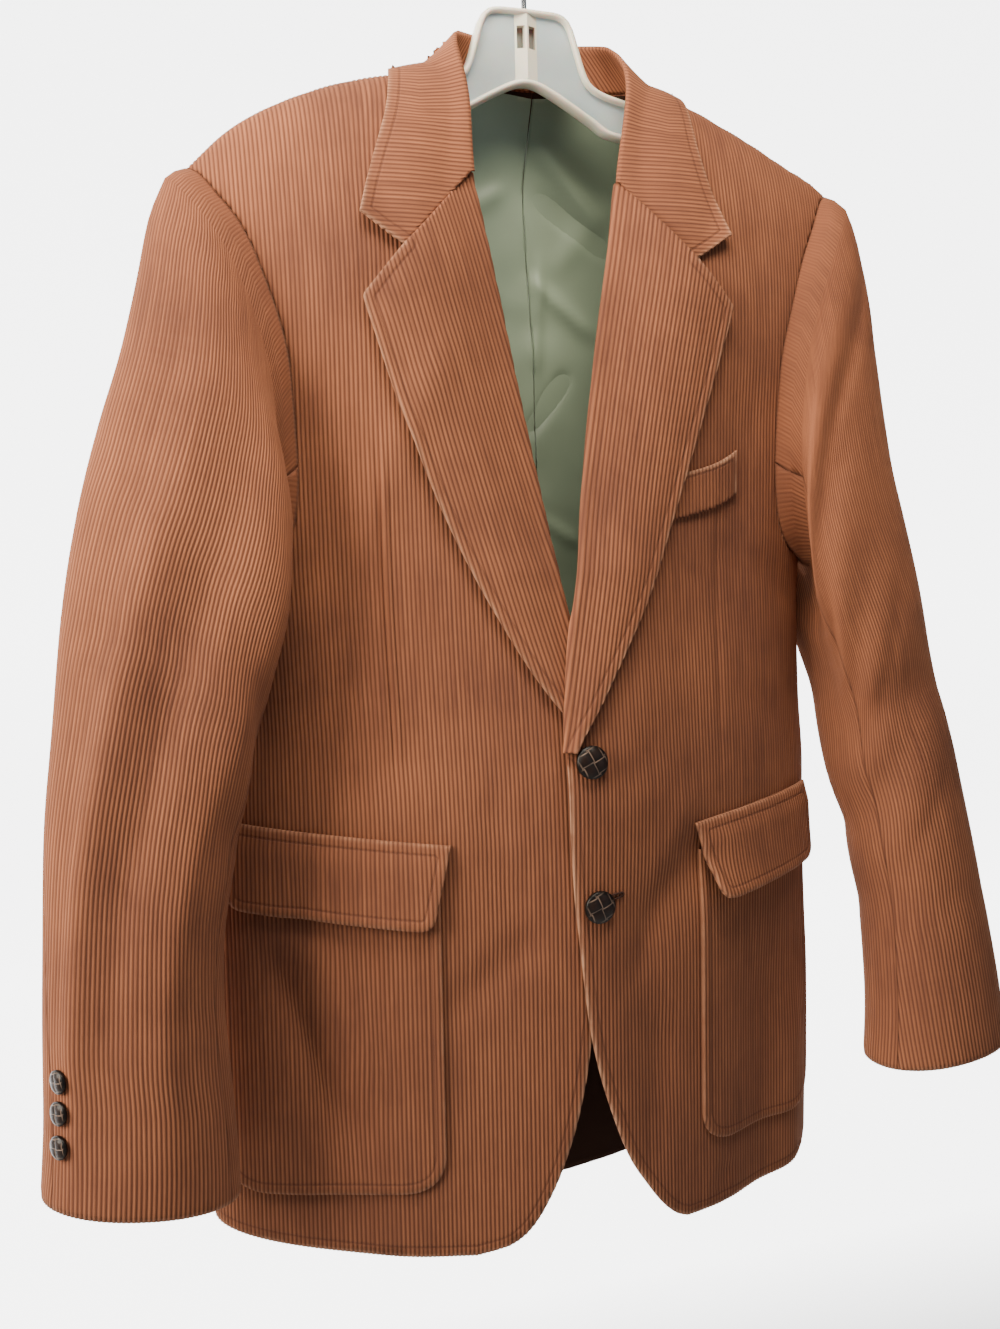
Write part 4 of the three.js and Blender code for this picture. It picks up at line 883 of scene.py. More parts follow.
def sew_back(side):
    seam, arm = side_edge(side, 1)
    z = np.append(np.arange(HEM_BACK_Z, BACK_NECK_Z, 8.0), BACK_NECK_Z)
    middle = np.stack([back_seam_x(z), z], axis=1)
    hem = hem_edge(side, middle[0], seam[0], 0)
    x = np.linspace(NECK_POINT[0], side * BACK_SEAM["neck"], 12)
    neck_z = mix(BACK_NECK_Z, NECK_POINT[1], x / NECK_POINT[0])
    neck = np.stack([side * x, neck_z], axis=1)
    sections = laid_flat(BACK_CLOTH, [
        ("turned", hem), ("seam", seam), ("seam", arm), ("seam", shoulder_edge(side)),
        ("seam", neck), ("seam", middle[::-1]),
    ])

    def place(s, q):
        return body_point(*BACK_CLOTH.place(s, q), 1)

    def limit(p):
        p[:, 1] = np.maximum(p[:, 1], SEAM_GAP / 2)
        seam_x = back_seam_x(p[:, 2])
        p[:, 0] = seam_x + side * np.maximum(side * (p[:, 0] - seam_x), SEAM_GAP / 2)
        return p

    sew(f"back_{SIDE_NAME[side]}", sections, place, -1, SHELL, 10.0, CLOTH, limit=limit)
    sew_lining(side, limit)


# The satin lining of the upper back, drawn in small pinches towards its centre seam.
LINING = {"bottom": -645, "waist": -470, "side_share": 0.86, "arm": (-455, -200), "inset": 22,
          "corner": (190, -196), "below_shoulder": 4}
# Wrinkles in cloth coordinates: two ends, width and height
LINING_WRINKLES = [
    (12, -165, 62, -215, 7, 3.6), (20, -205, 74, -240, 6, -3.2), (14, -262, 60, -300, 6, 2.8),
    (-8, -200, -50, -225, 7, 2.6), (-10, -290, -58, -272, 6, -2.6), (16, -330, 20, -250, 5, 2.6),
    (-14, -400, -40, -380, 6, 2.8), (10, -430, 44, -452, 5, 3.0), (-8, -470, -34, -478, 5, -2.6),
    (8, -520, 30, -512, 5, 2.4), (-60, -180, -86, -260, 7, 2.6), (10, -370, 40, -330, 6, -2.8),
]


def sew_lining(side, limit):
    z = np.arange(LINING["bottom"], BACK_NECK_Z - 3, 8.0)
    middle = np.stack([back_seam_x(z) + side * 0.3, z], axis=1)
    _, arm = side_edge(side, 1)
    levels = (LINING["bottom"], LINING["waist"])
    outer = [[side * half_width(side, z) * LINING["side_share"], z] for z in levels]
    low, high = LINING["arm"]
    outer += [[side * (abs(x) - LINING["inset"]), z] for x, z in arm[::6] if low < z < high]
    corner_x, corner_z = LINING["corner"]
    outer = np.array([*outer, [side * corner_x, corner_z]])
    x = np.linspace(corner_x, NECK_POINT[0], 20)
    top = np.stack([side * x, SHOULDER(x) - LINING["below_shoulder"]], axis=1)
    neck = np.array([top[-1], middle[-1]])
    hem = np.array([middle[0], outer[0]])
    sections = laid_flat(BACK_CLOTH, [
        ("turned", hem), ("open", outer), ("open", np.array([outer[-1], top[0]])), ("open", top),
        ("open", neck), ("seam", middle[::-1]),
    ])

    def place(s, q):
        return body_point(*BACK_CLOTH.place(s, q), 1)

    def pinch(s, q, turned, seam):
        height = np.sin(q / 7.5 + 1.3 * np.sin(q / 23) + 0.05 * seam) * np.exp(-seam / 17) * 0.8
        height -= bell(seam, 2.0)
        for *ends, wide, high in LINING_WRINKLES:
            along, off = beside(s, q, *ends)
            height += high * bell(off, wide) * ease((along + 0.2) / 0.4) * ease((1.2 - along) / 0.4)
        return height

    sew(
        f"lining_{SIDE_NAME[side]}", sections, place, 1, LINING_WALL, 4.0, [SATIN], pinch, limit,
        wales=False, out=SHELL + LINING_EASE + LINING_WALL,
    )


for side in (RIGHT, LEFT):
    sew_front(side)
    sew_back(side)


# Sleeves: rings from the armhole down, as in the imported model
SLEEVE = columns("step out_x out_z in_x in_z mid_y fore aft lean", [
    (1, 244, -196, 211.5, -453, -3, 44, 40, 40),
    (2, 255, -222, 214, -463, -6, 49, 43, 46),
    (3, 265, -262, 215, -475, -11, 52, 45, 54),
    (4, 277, -305, 215, -490, -17, 53, 45, 60),
    (5, 293, -352, 214, -511, -24, 53, 45, 60),
    (6, 308, -405, 214, -540, -33, 52, 45, 50),
    (7, 320, -465, 216, -576, -42, 50, 44, 36),
    (8, 329, -535, 223, -620, -51, 47, 42, 22),
    (9, 337, -600, 232, -666, -58, 44, 40, 11),
    (10, 341, -666, 235, -714, -62, 42, 39, 4),
    (11, 344, -721, 233, -756, -64, 42, 39, 0),
    (12, 346, -772, 231, -797, -65, 43, 40, 0),
    (13, 350, -819, 230, -834, -65, 44, 41, 0),
])
# The wearer's left one: how far its outer and inner lines hang in from that, and back, and its lean
LEFT_SLEEVE = columns("step out_in in_in back lean", [
    (1, 0, 0, 0, 40), (2, 1, 0, 0, 46), (3, 7, 0, 0, 53), (4, 17.5, 0, 0, 56.5),
    (5, 30, 2.5, 1.7, 54), (6, 40, 0.2, 2.8, 41), (7, 42, 2.3, 5.6, 22), (8, 41, 7.3, 9, 9.5),
    (9, 37, 8.5, 8.4, 2), (10, 29, 3.8, 7.3, 0), (11, 22, 0, 5.6, 0), (12, 16, -2, 3.4, 0),
    (13, 12.5, -0.5, 1.7, 0),
])
LEFT_SHORTER = 17
CUFF_STEP = 13
CAP = {"gap": -0.4, "bulge": 7, "hub": (205, -315)}
# How far the wales slide towards the sleeve head's top as they near the armhole
CAP_SLIDE = 24
SLEEVE_SEAMS = {"fore": (118, 150), "hind": {RIGHT: (285, 389), LEFT: (285, 335)}}
SLEEVE_ROUND = 0.94
SEAM_TURN = 0.08
# Soft folds: step, turn, slant, width in steps, reach in degrees, height
SLEEVE_FOLDS = {
    RIGHT: [
        (8.0, 48, 0, 5.0, 9, 4.2), (7.0, 72, 0, 4.0, 12, -4.6), (9.0, 104, 0, 3.5, 10, 2.4),
        (4.5, 60, -0.01, 0.55, 45, -3), (6.4, 110, 0.012, 0.4, 50, -3.5), (7.4, 80, 0.01, 0.35, 60, -3),
        (8.2, 115, -0.008, 0.4, 50, -3), (7.3, 260, 0.01, 0.45, 60, -3), (8.6, 230, -0.01, 0.4, 50, -3),
        (5.4, 30, 0.012, 0.22, 30, -1.2), (6.9, 50, -0.012, 0.2, 26, -1.3), (9.1, 75, 0.008, 0.22, 34, -1.2),
        (10.3, 100, -0.006, 0.25, 40, -1.3), (11.6, 60, 0.008, 0.3, 36, -1.0),
        (5.6, 250, 0.01, 0.25, 40, -1.4),
    ],
    LEFT: [
        (3.3, 50, 0.03, 0.55, 50, -8), (4.9, 80, 0.02, 0.5, 55, -4), (6.6, 110, 0.01, 0.4, 60, -4),
        (7.5, 105, -0.004, 0.35, 60, -4), (8.3, 120, 0.006, 0.35, 60, -3.5), (7.2, 265, 0.01, 0.45, 60, -3),
        (8.6, 230, -0.01, 0.4, 50, -3), (7.0, 70, 0.012, 0.18, 34, -1.5), (7.9, 60, -0.008, 0.2, 40, -1.7),
        (9.2, 95, 0.008, 0.2, 42, -1.4), (10.4, 70, -0.006, 0.24, 36, -1.2), (5.8, 120, 0.012, 0.2, 30, -1.4),
        (9.8, 240, -0.008, 0.25, 44, -1.5),
    ],
}


def armhole_point(turn, side):
    way = np.where(turn <= 180, -1, 1)
    top = np.where(turn <= 180, turn, 360 - turn)
    x = side * np.where(way < 0, ARMHOLE["chest"](top), ARMHOLE["blade"](top))
    z = arm_z(top)
    return np.where((way < 0)[..., None], body_point(x, z, -1), body_point(x, z, 1))


def sleeve_ring(step, turn, side):
    left = side == LEFT
    out_x = SLEEVE["out_x"](step) - (LEFT_SLEEVE["out_in"](step) if left else 0)
    in_x = SLEEVE["in_x"](step) - (LEFT_SLEEVE["in_in"](step) if left else 0)
    out_z, in_z = SLEEVE["out_z"](step), SLEEVE["in_z"](step)
    c, s = np.cos(np.radians(turn)), np.sin(np.radians(turn))
    c, s = (np.sign(v) * np.abs(v) ** SLEEVE_ROUND for v in (c, s))
    lean = (LEFT_SLEEVE if left else SLEEVE)["lean"](step) * s**2 * np.where(s > 0, 1, 0.6)
    x = (out_x + in_x) / 2 + c * (out_x - in_x) / 2 - lean
    shorter = LEFT_SHORTER * (step - 1) / (CUFF_STEP - 1) if left else 0
    z = (out_z + in_z) / 2 + c * (out_z - in_z) / 2 + shorter
    y = SLEEVE["mid_y"](step) - s * np.where(s > 0, SLEEVE["fore"](step), SLEEVE["aft"](step))
    return point(side * x, y + (LEFT_SLEEVE["back"](step) if left else 0), z)


def sleeve_fold(step, turn, side):
    total = 0
    for at, middle, slant, wide, reach, height in SLEEVE_FOLDS[side]:
        off = (step - at - slant * (turn - middle)) / wide
        total = total + height * np.exp(-(off**2) - ((turn - middle) / reach) ** 2)
    return total * ease(step / 1.5) * ease((CUFF_STEP + 0.2 - step) / 1.5)


def sleeve_point(step, turn, side):
    turn = np.mod(turn, 360)
    low = np.maximum(step, 1)
    ring = sleeve_ring(low, turn, side)
    hub = (sleeve_ring(low, turn * 0, side) + sleeve_ring(low, turn * 0 + 180, side)) / 2
    folded = ring + unit(ring - hub) * np.asarray(sleeve_fold(step, turn, side))[..., None]
    start = armhole_point(turn, side)
    rise = start - point(side * CAP["hub"][0], 0, CAP["hub"][1])
    rise[..., 0] = 0
    rise = unit(rise)
    share = np.clip(step, 0, 1)[..., None]
    bulge = np.sin(share * math.pi / 2) ** 0.75 - share
    begin = start + point(side * CAP["gap"], 0, 0) + 0.2 * rise
    cap = mix(begin, ring, share) + bulge * CAP["bulge"] * rise
    return np.where((step >= 1)[..., None], folded, cap)


# Cloth coordinates of a sleeve: mm round it from the middle of a piece, and mm up from its hem.
class SleeveCloth:
    STEPS = np.linspace(0, CUFF_STEP, 157)
    REACH = 260
    # Columns whose mean length is the sleeve's
    MIDDLE = slice(60, 130)

    def __init__(self, side, middle):
        self.side = side
        self.turns = np.linspace(middle - 190, middle + 190, 191)
        step, turn = np.meshgrid(self.STEPS, self.turns, indexing="ij")
        points = sleeve_point(step, turn, side)
        run = running(np.linalg.norm(np.diff(points, axis=1), axis=2))
        slide = CAP_SLIDE * (1 - ease(self.STEPS / 1.8))[:, None] * np.sin(np.radians(self.turns))[None, :]
        self.run = run - run[:, len(self.turns) // 2][:, None] + slide
        runs = np.arange(-self.REACH, self.REACH + 1.0)
        self.turn = np.array([np.interp(runs, row, self.turns) for row in self.run])
        self.down = -running(np.linalg.norm(np.diff(points[:, self.MIDDLE], axis=0), axis=2).mean(axis=1))

    def row_of(self, step):
        return step / CUFF_STEP * (len(self.STEPS) - 1)

    def flat(self, step, turn):
        s = between(self.run, self.row_of(step), (turn - self.turns[0]) / 2)
        return np.stack([s, np.interp(step, self.STEPS, self.down)], axis=-1)

    def place(self, s, q):
        step = np.interp(-q, -self.down, self.STEPS)
        turn = between(self.turn, self.row_of(step), s + self.REACH)
        return sleeve_point(step, turn, self.side)


# How far the wales sink beside the armhole's seam.
def flatten(s, q, turned, seam):
    return -0.85 * wale_height(s) * ease((q + CAP_FLAT) / (0.7 * CAP_FLAT))


def sew_sleeve(side):
    step = np.linspace(0, CUFF_STEP, 80)
    fore = mix(*SLEEVE_SEAMS["fore"], ease(step / CUFF_STEP))
    hind = mix(*SLEEVE_SEAMS["hind"][side], ease(step / CUFF_STEP))
    pieces = {
        "upper": (35, hind - 360 + SEAM_TURN, fore - SEAM_TURN),
        "under": (205, fore + SEAM_TURN, hind - SEAM_TURN),
    }
    for part, (middle, start, end) in pieces.items():
        cloth = SleeveCloth(side, middle)
        share = np.linspace(0, 1, 70)
        cap = np.zeros_like(share)
        sections = [
            ("seam", cloth.flat(cap, mix(start[0], end[0], share))),
            ("seam", cloth.flat(step, end)),
            ("turned", cloth.flat(cap + CUFF_STEP, mix(end[-1], start[-1], share))),
            ("seam", cloth.flat(step[::-1], start[::-1])),
        ]
        name = f"sleeve_{part}_{SIDE_NAME[side]}"
        sew(name, sections, cloth.place, -side, SLEEVE_WALL, 9.0, CLOTH_SLEEVE, flatten)


# Lapels
GORGE_TOP = (53, -191)
NOTCH = (101, -241.6)
LAPEL_POINT = (128, -272)
LAPEL = {
    "from_z": {LEFT: -568, RIGHT: -572},
    "roll_radius": SHELL / 4 + FOLD_WALL / 4 + 0.45,
    "edge_lift": 4.4,
    "belly": 2.2,
    "grain": {RIGHT: 15.5, LEFT: 11},
    "corner": 3,
    # How far a lapel's roll stands in from its front's edge, and the share of half a turn that it makes
    "apart": SEAM_GAP + 0.6,
    "round": 0.97,
}


def lapel_row(v, side):
    key = SIDE_NAME[side]
    roll_z = mix(LAPEL["from_z"][side], GORGE_TOP[1] + 1.5, v)
    edge_z = mix(LAPEL["from_z"][side] - 1, LAPEL_POINT[1] - 0.5, v)
    roll = np.stack([ROLL_LINE[key](roll_z), roll_z], axis=-1)
    edge = np.stack([LAPEL_EDGE[key](edge_z), edge_z], axis=-1)
    return roll, edge


# Row and share across it of places on a lapel, its distance out from the middle and its height.
def lapel_shares(out, z, side):
    low, high = np.full(out.shape, -0.05), np.full(out.shape, 1.08)
    for _ in range(26):
        v = (low + high) / 2
        roll, edge = lapel_row(v, side)
        span = edge - roll
        above = span[..., 0] * (z - roll[..., 1]) - span[..., 1] * (out - roll[..., 0]) > 0
        low, high = np.where(above, v, low), np.where(above, high, v)
    roll, edge = lapel_row(v, side)
    span = edge - roll
    length = np.maximum(np.linalg.norm(span, axis=-1), 1e-3)
    off = ((out - roll[..., 0]) * span[..., 0] + (z - roll[..., 1]) * span[..., 1]) / length
    return v, off, length, roll


def lapel_point_at(out, z, side):
    v, off, length, roll = lapel_shares(out, z, side)
    u = np.clip(off / length, 0, 1)
    radius = LAPEL["roll_radius"]
    start_x, start_z = side * roll[..., 0], roll[..., 1]
    n = front_normal(start_x, start_z, side)
    across = unit(front_point(start_x + side, start_z, side) - front_point(start_x, start_z, side))
    hub = front_point(start_x, start_z, side) + n * (radius - SHELL / 2) - across * LAPEL["apart"]
    turn = (math.pi / 2 + np.clip(off / radius, -math.pi, 0))[..., None]
    rolled = hub - across * radius * np.cos(turn) + n * radius * np.sin(turn)
    lift = mix(2 * radius - SHELL / 2, LAPEL["edge_lift"], ease(u * 1.3))
    belly = LAPEL["belly"] * np.sin(math.pi * u) * ease(v * 2)
    lain = front_point(side * out, z, side) + front_normal(side * out, z, side) * (lift + belly)[..., None]
    lain -= across * LAPEL["apart"] * (1 - ease(u * 8))[..., None]
    return np.where((off < 0)[..., None], rolled, lain)


# Height of the soft edge between a turned edge and its topstitching.
def edge_puff(turned, high):
    return high * np.sin(math.pi * np.clip(turned / TOPSTITCH, 0, 1))


# A corner at b, between a and c, rounded.
def rounded(a, b, c, radius, count=5):
    a, b, c = (np.asarray(p, float) for p in (a, b, c))
    start, end = b + unit(a - b) * radius, b + unit(c - b) * radius
    t = np.linspace(0, 1, count)[:, None]
    return (1 - t) ** 2 * start + 2 * t * (1 - t) * b + t * t * end


def sew_lapel(side):
    grain = -math.radians(LAPEL["grain"][side])
    turn = np.array([[math.cos(grain), math.sin(grain)], [-math.sin(grain), math.cos(grain)]])
    v = np.linspace(0, 1, 60)
    roll, edge = lapel_row(v, side)
    inward = unit(roll - edge)
    seam = roll + inward * LAPEL["roll_radius"] * math.pi * LAPEL["round"]
    outer = edge[:-2]
    corner = rounded(edge[-3], edge[-1], NOTCH, LAPEL["corner"])
    top = np.array([corner[-1], NOTCH])
    gorge = np.linspace(NOTCH, roll[-1], 8)
    last = np.array([roll[-1], seam[-1]])
    sections = [
        ("open", np.array([seam[0], outer[0]])), ("turned", np.concatenate([outer, corner])),
        ("turned", top), ("seam", gorge), ("seam", last), ("open", seam[::-1]),
    ]
    sections = [(kind, pts @ turn.T) for kind, pts in sections]

    def place(s, q):
        pts = np.stack([s, q], axis=-1) @ turn
        return lapel_point_at(pts[..., 0], pts[..., 1], side)

    def puff(s, q, turned, seam):
        return edge_puff(turned, 0.5)

    name = f"lapel_{SIDE_NAME[side]}"
    sew(name, sections, place, side, FOLD_WALL / 2, 3.0, CLOTH_EDGED, puff, out=FOLD_WALL / 2)


# Collar: from the middle of the back (0) to the gorge (1), the fold's line and the fall's outer edge
COLLAR = columns("t fold_x fold_y fold_z edge_x edge_y edge_z", [
    (0, 0, 33, -80, 0, 43, -128),
    (0.2, 31, 27, -81, 50, 40, -129),
    (0.4, 54, 7, -86, 90, 20, -126),
    (0.55, 60, -13, -105, 103, -3, -123),
    (0.75, 55.5, -30, -146, 109, -26, -155),
    (1, 51, -38, -189.5, 129, -52, -222),
])
COLLAR_FORM = {"at_shoulder": 0.45, "off": 2.2, "lift": 3.1, "belly": 1.3, "notch_at": 0.6}
# Its wales run across it behind, and turn until they lie level in front.
COLLAR_GRAIN = {"from": 0.6, "to": 0.85}
COLLAR_STAND_ROWS = 5
COLLAR_ROLL_ROWS = 7
COLLAR_FALL_ROWS = 20


# How far points are out of the body near its shoulders, as a share of its depth (0 on its face).
def outside(p):
    x, y, z = np.moveaxis(p, -1, 0)
    ridge = SHOULDER(np.abs(x))
    level = np.minimum(z, ridge)
    depth = np.maximum(np.where(y < 0, body_depth(x, level, -1), body_depth(x, level, 1)), 4)
    drop = np.where(y < 0, FRONT_DROP, BACK_DROP)
    return np.hypot(y / depth, np.maximum(0, (z - ridge + drop) / drop)) - 1


def push_out(p, lift):
    steps = np.eye(3) * 0.2
    for _ in range(8):
        slope = np.stack([(outside(p + d) - outside(p - d)) / 0.4 for d in steps], axis=-1)
        steep = np.linalg.norm(slope, axis=-1)
        gap = outside(p) / steep
        p = p + unit(slope) * np.maximum(lift - gap, 0)[..., None]
    return p


def neck_seam(t):
    shoulder = COLLAR_FORM["at_shoulder"]
    x = NECK_POINT[0] * np.sin(np.clip(t / shoulder, 0, 1) * math.pi / 2)
    turn = x / NECK_POINT[0]
    behind = body_point(x, mix(BACK_NECK_Z, NECK_POINT[1], turn), 1)
    off_behind = unit(point(-turn, -0.4 * (1 - turn), 1 - turn))
    z = mix(NECK_POINT[1], GORGE_TOP[1] + 3, (t - shoulder) / (1 - shoulder))
    before = body_point(ROLL_LINE["left"](z), z, -1)
    back = (t < shoulder)[..., None]
    return np.where(back, behind, before), np.where(back, off_behind, point(-1, t * 0, t * 0))


def collar_line(key, t):
    return point(*(COLLAR[f"{key}_{axis}"](t) for axis in "xyz"))


# Points of the collar's left half, a row for each share t of its length and a column for each across it.
def collar_grid(t):
    form = COLLAR_FORM
    at, off = neck_seam(t)
    seam = at + off * form["off"]
    fold, edge = collar_line("fold", t), collar_line("edge", t)
    along = unit(collar_line("fold", np.minimum(t + 0.03, 1)) - collar_line("fold", np.maximum(t - 0.03, 0)))

    def square(v):
        return unit(v - np.sum(v * along, axis=-1, keepdims=True) * along)

    to_seam, to_edge = square(seam - fold), square(edge - fold)
    crown = -unit(to_seam + to_edge)
    over = unit(to_edge - np.sum(to_edge * crown, axis=-1, keepdims=True) * crown)
    apart = np.arccos(np.clip(np.sum(to_seam * to_edge, axis=-1), -1, 1))
    half = (math.pi / 2 - apart / 2)[:, None]
    radius = LAPEL["roll_radius"]
    arc = [
        fold + radius * (crown * np.cos(s * half) + over * np.sin(s * half))
        for s in np.linspace(-1, 1, COLLAR_ROLL_ROWS)
    ]
    rows = [mix(seam, arc[0], k) for k in np.linspace(0, 1, COLLAR_STAND_ROWS + 1)[:-1]] + arc
    notch = np.array([NOTCH[0], body_point(*NOTCH, -1)[1] - form["lift"], NOTCH[1]])
    fold_end, corner = collar_line("fold", 1.0), collar_line("edge", 1.0)
    for w in np.linspace(0, 1, COLLAR_FALL_ROWS + 1)[1:]:
        straight = mix(fold_end, corner, w)
        if w < form["notch_at"]:
            bent = mix(fold_end, notch, w / form["notch_at"])
        else:
            bent = mix(notch, corner, (w - form["notch_at"]) / (1 - form["notch_at"]))
        p = mix(arc[-1], edge, w) + (bent - straight) * t[:, None] ** 5
        ridge = 0.9 * bell(t - 0.5, 0.12)
        rows.append(push_out(p, form["lift"] + ridge + form["belly"] * math.sin(math.pi * w)))
    return np.stack(rows, axis=1)


def sew_collar():
    t = np.linspace(0, 1, 161)
    grid = collar_grid(t)
    down = running(np.linalg.norm(np.diff(grid, axis=1), axis=2).mean(axis=0))
    fold_at = COLLAR_STAND_ROWS + COLLAR_ROLL_ROWS // 2
    down -= down[fold_at]
    fold_run = running(np.linalg.norm(np.diff(grid[:, fold_at], axis=0), axis=1))
    # Past the gorge the fold runs on as it does over its last steps.
    last = -20
    pace = (fold_run[-1] - fold_run[last]) / (t[-1] - t[last])
    whole = np.concatenate([(grid * [-1, 1, 1])[:0:-1], grid])
    lead = np.linspace(0, 1.4, 281)
    lead_run = np.where(lead <= 1, np.interp(lead, t, fold_run), fold_run[-1] + (lead - 1) * pace)

    # Shares along the collar of a wale, for each lead it has at the fold: in front it stays at one height.
    front = t >= 0.5
    level = np.interp(lead, t, grid[:, fold_at, 2])
    drop = (grid[-1, fold_at, 2] - grid[last, fold_at, 2]) / (t[-1] - t[last])
    level += np.maximum(lead - 1, 0) * drop
    turned = ease((lead - COLLAR_GRAIN["from"]) / (COLLAR_GRAIN["to"] - COLLAR_GRAIN["from"]))
    shares = np.repeat(np.minimum(lead, 1)[:, None], grid.shape[1], axis=1)
    lead_end = np.ones(grid.shape[1])
    for j in range(fold_at, grid.shape[1]):
        at_level = np.interp(-level, -grid[front, j, 2], t[front])
        shares[:, j] = np.clip(mix(lead, at_level, turned), 0, 1)
        lead_end[j] = np.interp(-grid[-1, j, 2], -level[lead >= 0.8], lead[lead >= 0.8])

    def place(s, q):
        i = np.interp(np.abs(s), lead_run, np.arange(len(lead)))
        j = np.interp(q, down, np.arange(len(down)))
        along = np.sign(s) * between(shares, i, j)
        return between(whole, (along + 1) * (len(t) - 1), j)

    # The ends of the collar.
    columns_used = np.concatenate([np.arange(0, fold_at, 3), np.arange(fold_at, len(down))])
    q_end = down[columns_used]
    run_end = np.interp(lead_end[columns_used], lead, lead_run)
    end = np.stack([run_end, q_end], axis=1)
    w = np.clip((columns_used - len(down) + 1 + COLLAR_FALL_ROWS) / COLLAR_FALL_ROWS, 0, 1)
    notch_row = np.searchsorted(w, COLLAR_FORM["notch_at"])
    other = end * [-1, 1]
    fall = np.linspace([run_end[-1], down[-1]], [-run_end[-1], down[-1]], 90)
    stand = np.linspace([-run_end[0], down[0]], [run_end[0], down[0]], 60)
    sections = [
        ("seam", stand), ("seam", end[: notch_row + 1]), ("turned", end[notch_row:]), ("turned", fall),
        ("turned", other[notch_row:][::-1]), ("seam", other[: notch_row + 1][::-1]),
    ]

    def puff(s, q, turned, seam):
        return edge_puff(turned, 0.5) * (q > 8)

    sew("collar", sections, place, -1, FOLD_WALL / 2, 3.0, CLOTH_EDGED, puff, out=FOLD_WALL / 2)


# Pockets, flaps and welt, laid on the fronts. The first two reach out to a share of the half width.
LAID_OUTER = {LEFT: 0.955, RIGHT: 0.97}
FLAP = {"top": -625, "slope": 0.118, "inner": 87, "slant": 14, "tall": 56, "corner": 9}
FLAP_STAND = {LEFT: 13, RIGHT: 4}
POCKET = {"top": -645, "bottom": -858, "inner": {LEFT: 92, RIGHT: 95}, "corner": 28}
WELT = {"from": 77, "to": 134, "top": -388, "rise": 0.2, "turn_up": 7, "tall": 30}


# Sews a piece laid on a front. `lift` gives how far its outer face stands off, from x and z.
def sew_laid(name, side, sections, lift, thick, rows, materials, puff=None):
    if side == RIGHT:
        sections = [(kind, pts * [-1, 1]) for kind, pts in sections]
    sections = laid_flat(FRONT_CLOTH, sections)

    def place(s, q):
        x, z = FRONT_CLOTH.place(s, q)
        return front_point(x, z, side) + front_normal(x, z, side) * lift(np.abs(x), z)[..., None]

    sew(name, sections, place, 1, thick, rows, materials, puff)


def laid_puff(s, q, turned, seam):
    return edge_puff(turned, 0.45)


def sew_pocket(side):
    inner, corner = POCKET["inner"][side], POCKET["corner"]
    top, bottom = POCKET["top"], POCKET["bottom"]
    outside_z = np.linspace(top, bottom + corner, 30)
    outside_edge = np.stack([LAID_OUTER[side] * half_width(side, outside_z), outside_z], axis=1)
    a, b = (inner, top), outside_edge[0]
    c, d = (LAID_OUTER[side] * float(half_width(side, bottom)), bottom), (inner, bottom)
    round_out = rounded(outside_edge[-1], c, d, corner, 12)
    round_in = rounded(c, d, a, corner, 12)
    under = np.linspace(round_out[-1], round_in[0], 30)
    inside = np.linspace(round_in[-1], a, 30)
    sections = [
        ("turned", np.concatenate([outside_edge, round_out[1:], under[1:], round_in[1:], inside[1:]])),
        ("open", np.linspace(a, b, 20)),
    ]

    def lift(x, z):
        return np.full(x.shape, ON_CLOTH + SHELL)

    sew_laid(f"pocket_{SIDE_NAME[side]}", side, sections, lift, SHELL, 4.0, CLOTH_LAID, laid_puff)


def sew_flap(side):
    outer = LAID_OUTER[side] * float(half_width(side, FLAP["top"]))
    tall, corner = FLAP["tall"], FLAP["corner"]

    def top_at(x):
        return FLAP["top"] + FLAP["slope"] * (x - FLAP["inner"])

    a, b = ((x, top_at(x)) for x in (FLAP["inner"], outer))
    c, d = ((x, top_at(x) - tall) for x in (outer, FLAP["inner"] + FLAP["slant"]))
    round_out, round_in = rounded(b, c, d, corner, 8), rounded(c, d, a, corner, 8)
    edge = np.concatenate([
        np.linspace(b, round_out[0], 10), round_out[1:], np.linspace(round_out[-1], round_in[0], 24)[1:],
        round_in[1:], np.linspace(round_in[-1], a, 12)[1:],
    ])
    sections = [("turned", edge), ("turned", np.linspace(a, b, 20))]
    over_pocket = ON_CLOTH + SHELL + ON_CLOTH + FLAP_WALL

    def lift(x, z):
        down = np.clip((top_at(x) - z) / tall, 0, 1)
        inner = FLAP["inner"] + FLAP["slant"] * down
        u = np.clip((x - inner) / (outer - inner), 0, 1)
        stand = FLAP_STAND[side] * down**1.5 * (1 - 0.75 * u)
        return mix(ON_CLOTH + FLAP_WALL, over_pocket, ease(down / 0.3)) + stand + 0.4

    sew_laid(f"flap_{SIDE_NAME[side]}", side, sections, lift, FLAP_WALL, 2.5, CLOTH_LAID, laid_puff)


def sew_welt():
    u = np.linspace(0, 1, 24)
    x = mix(WELT["from"], WELT["to"], u)
    top = WELT["top"] + WELT["rise"] * (x - WELT["from"]) + WELT["turn_up"] * u**4
    upper = np.stack([x, top], axis=1)
    lower = upper - [0, WELT["tall"]]
    sections = [
        ("turned", np.linspace(lower[0], upper[0], 8)), ("turned", upper),
        ("turned", np.linspace(upper[-1], lower[-1], 8)), ("seam", lower[::-1]),
    ]

    def lift(x, z):
        return np.full(x.shape, ON_CLOTH + WELT_WALL)

    sew_laid("breast_welt", LEFT, sections, lift, WELT_WALL, 2.0, CLOTH_WELT)


for side in (RIGHT, LEFT):
    sew_sleeve(side)
    sew_lapel(side)
    sew_pocket(side)
    sew_flap(side)
sew_collar()
sew_welt()


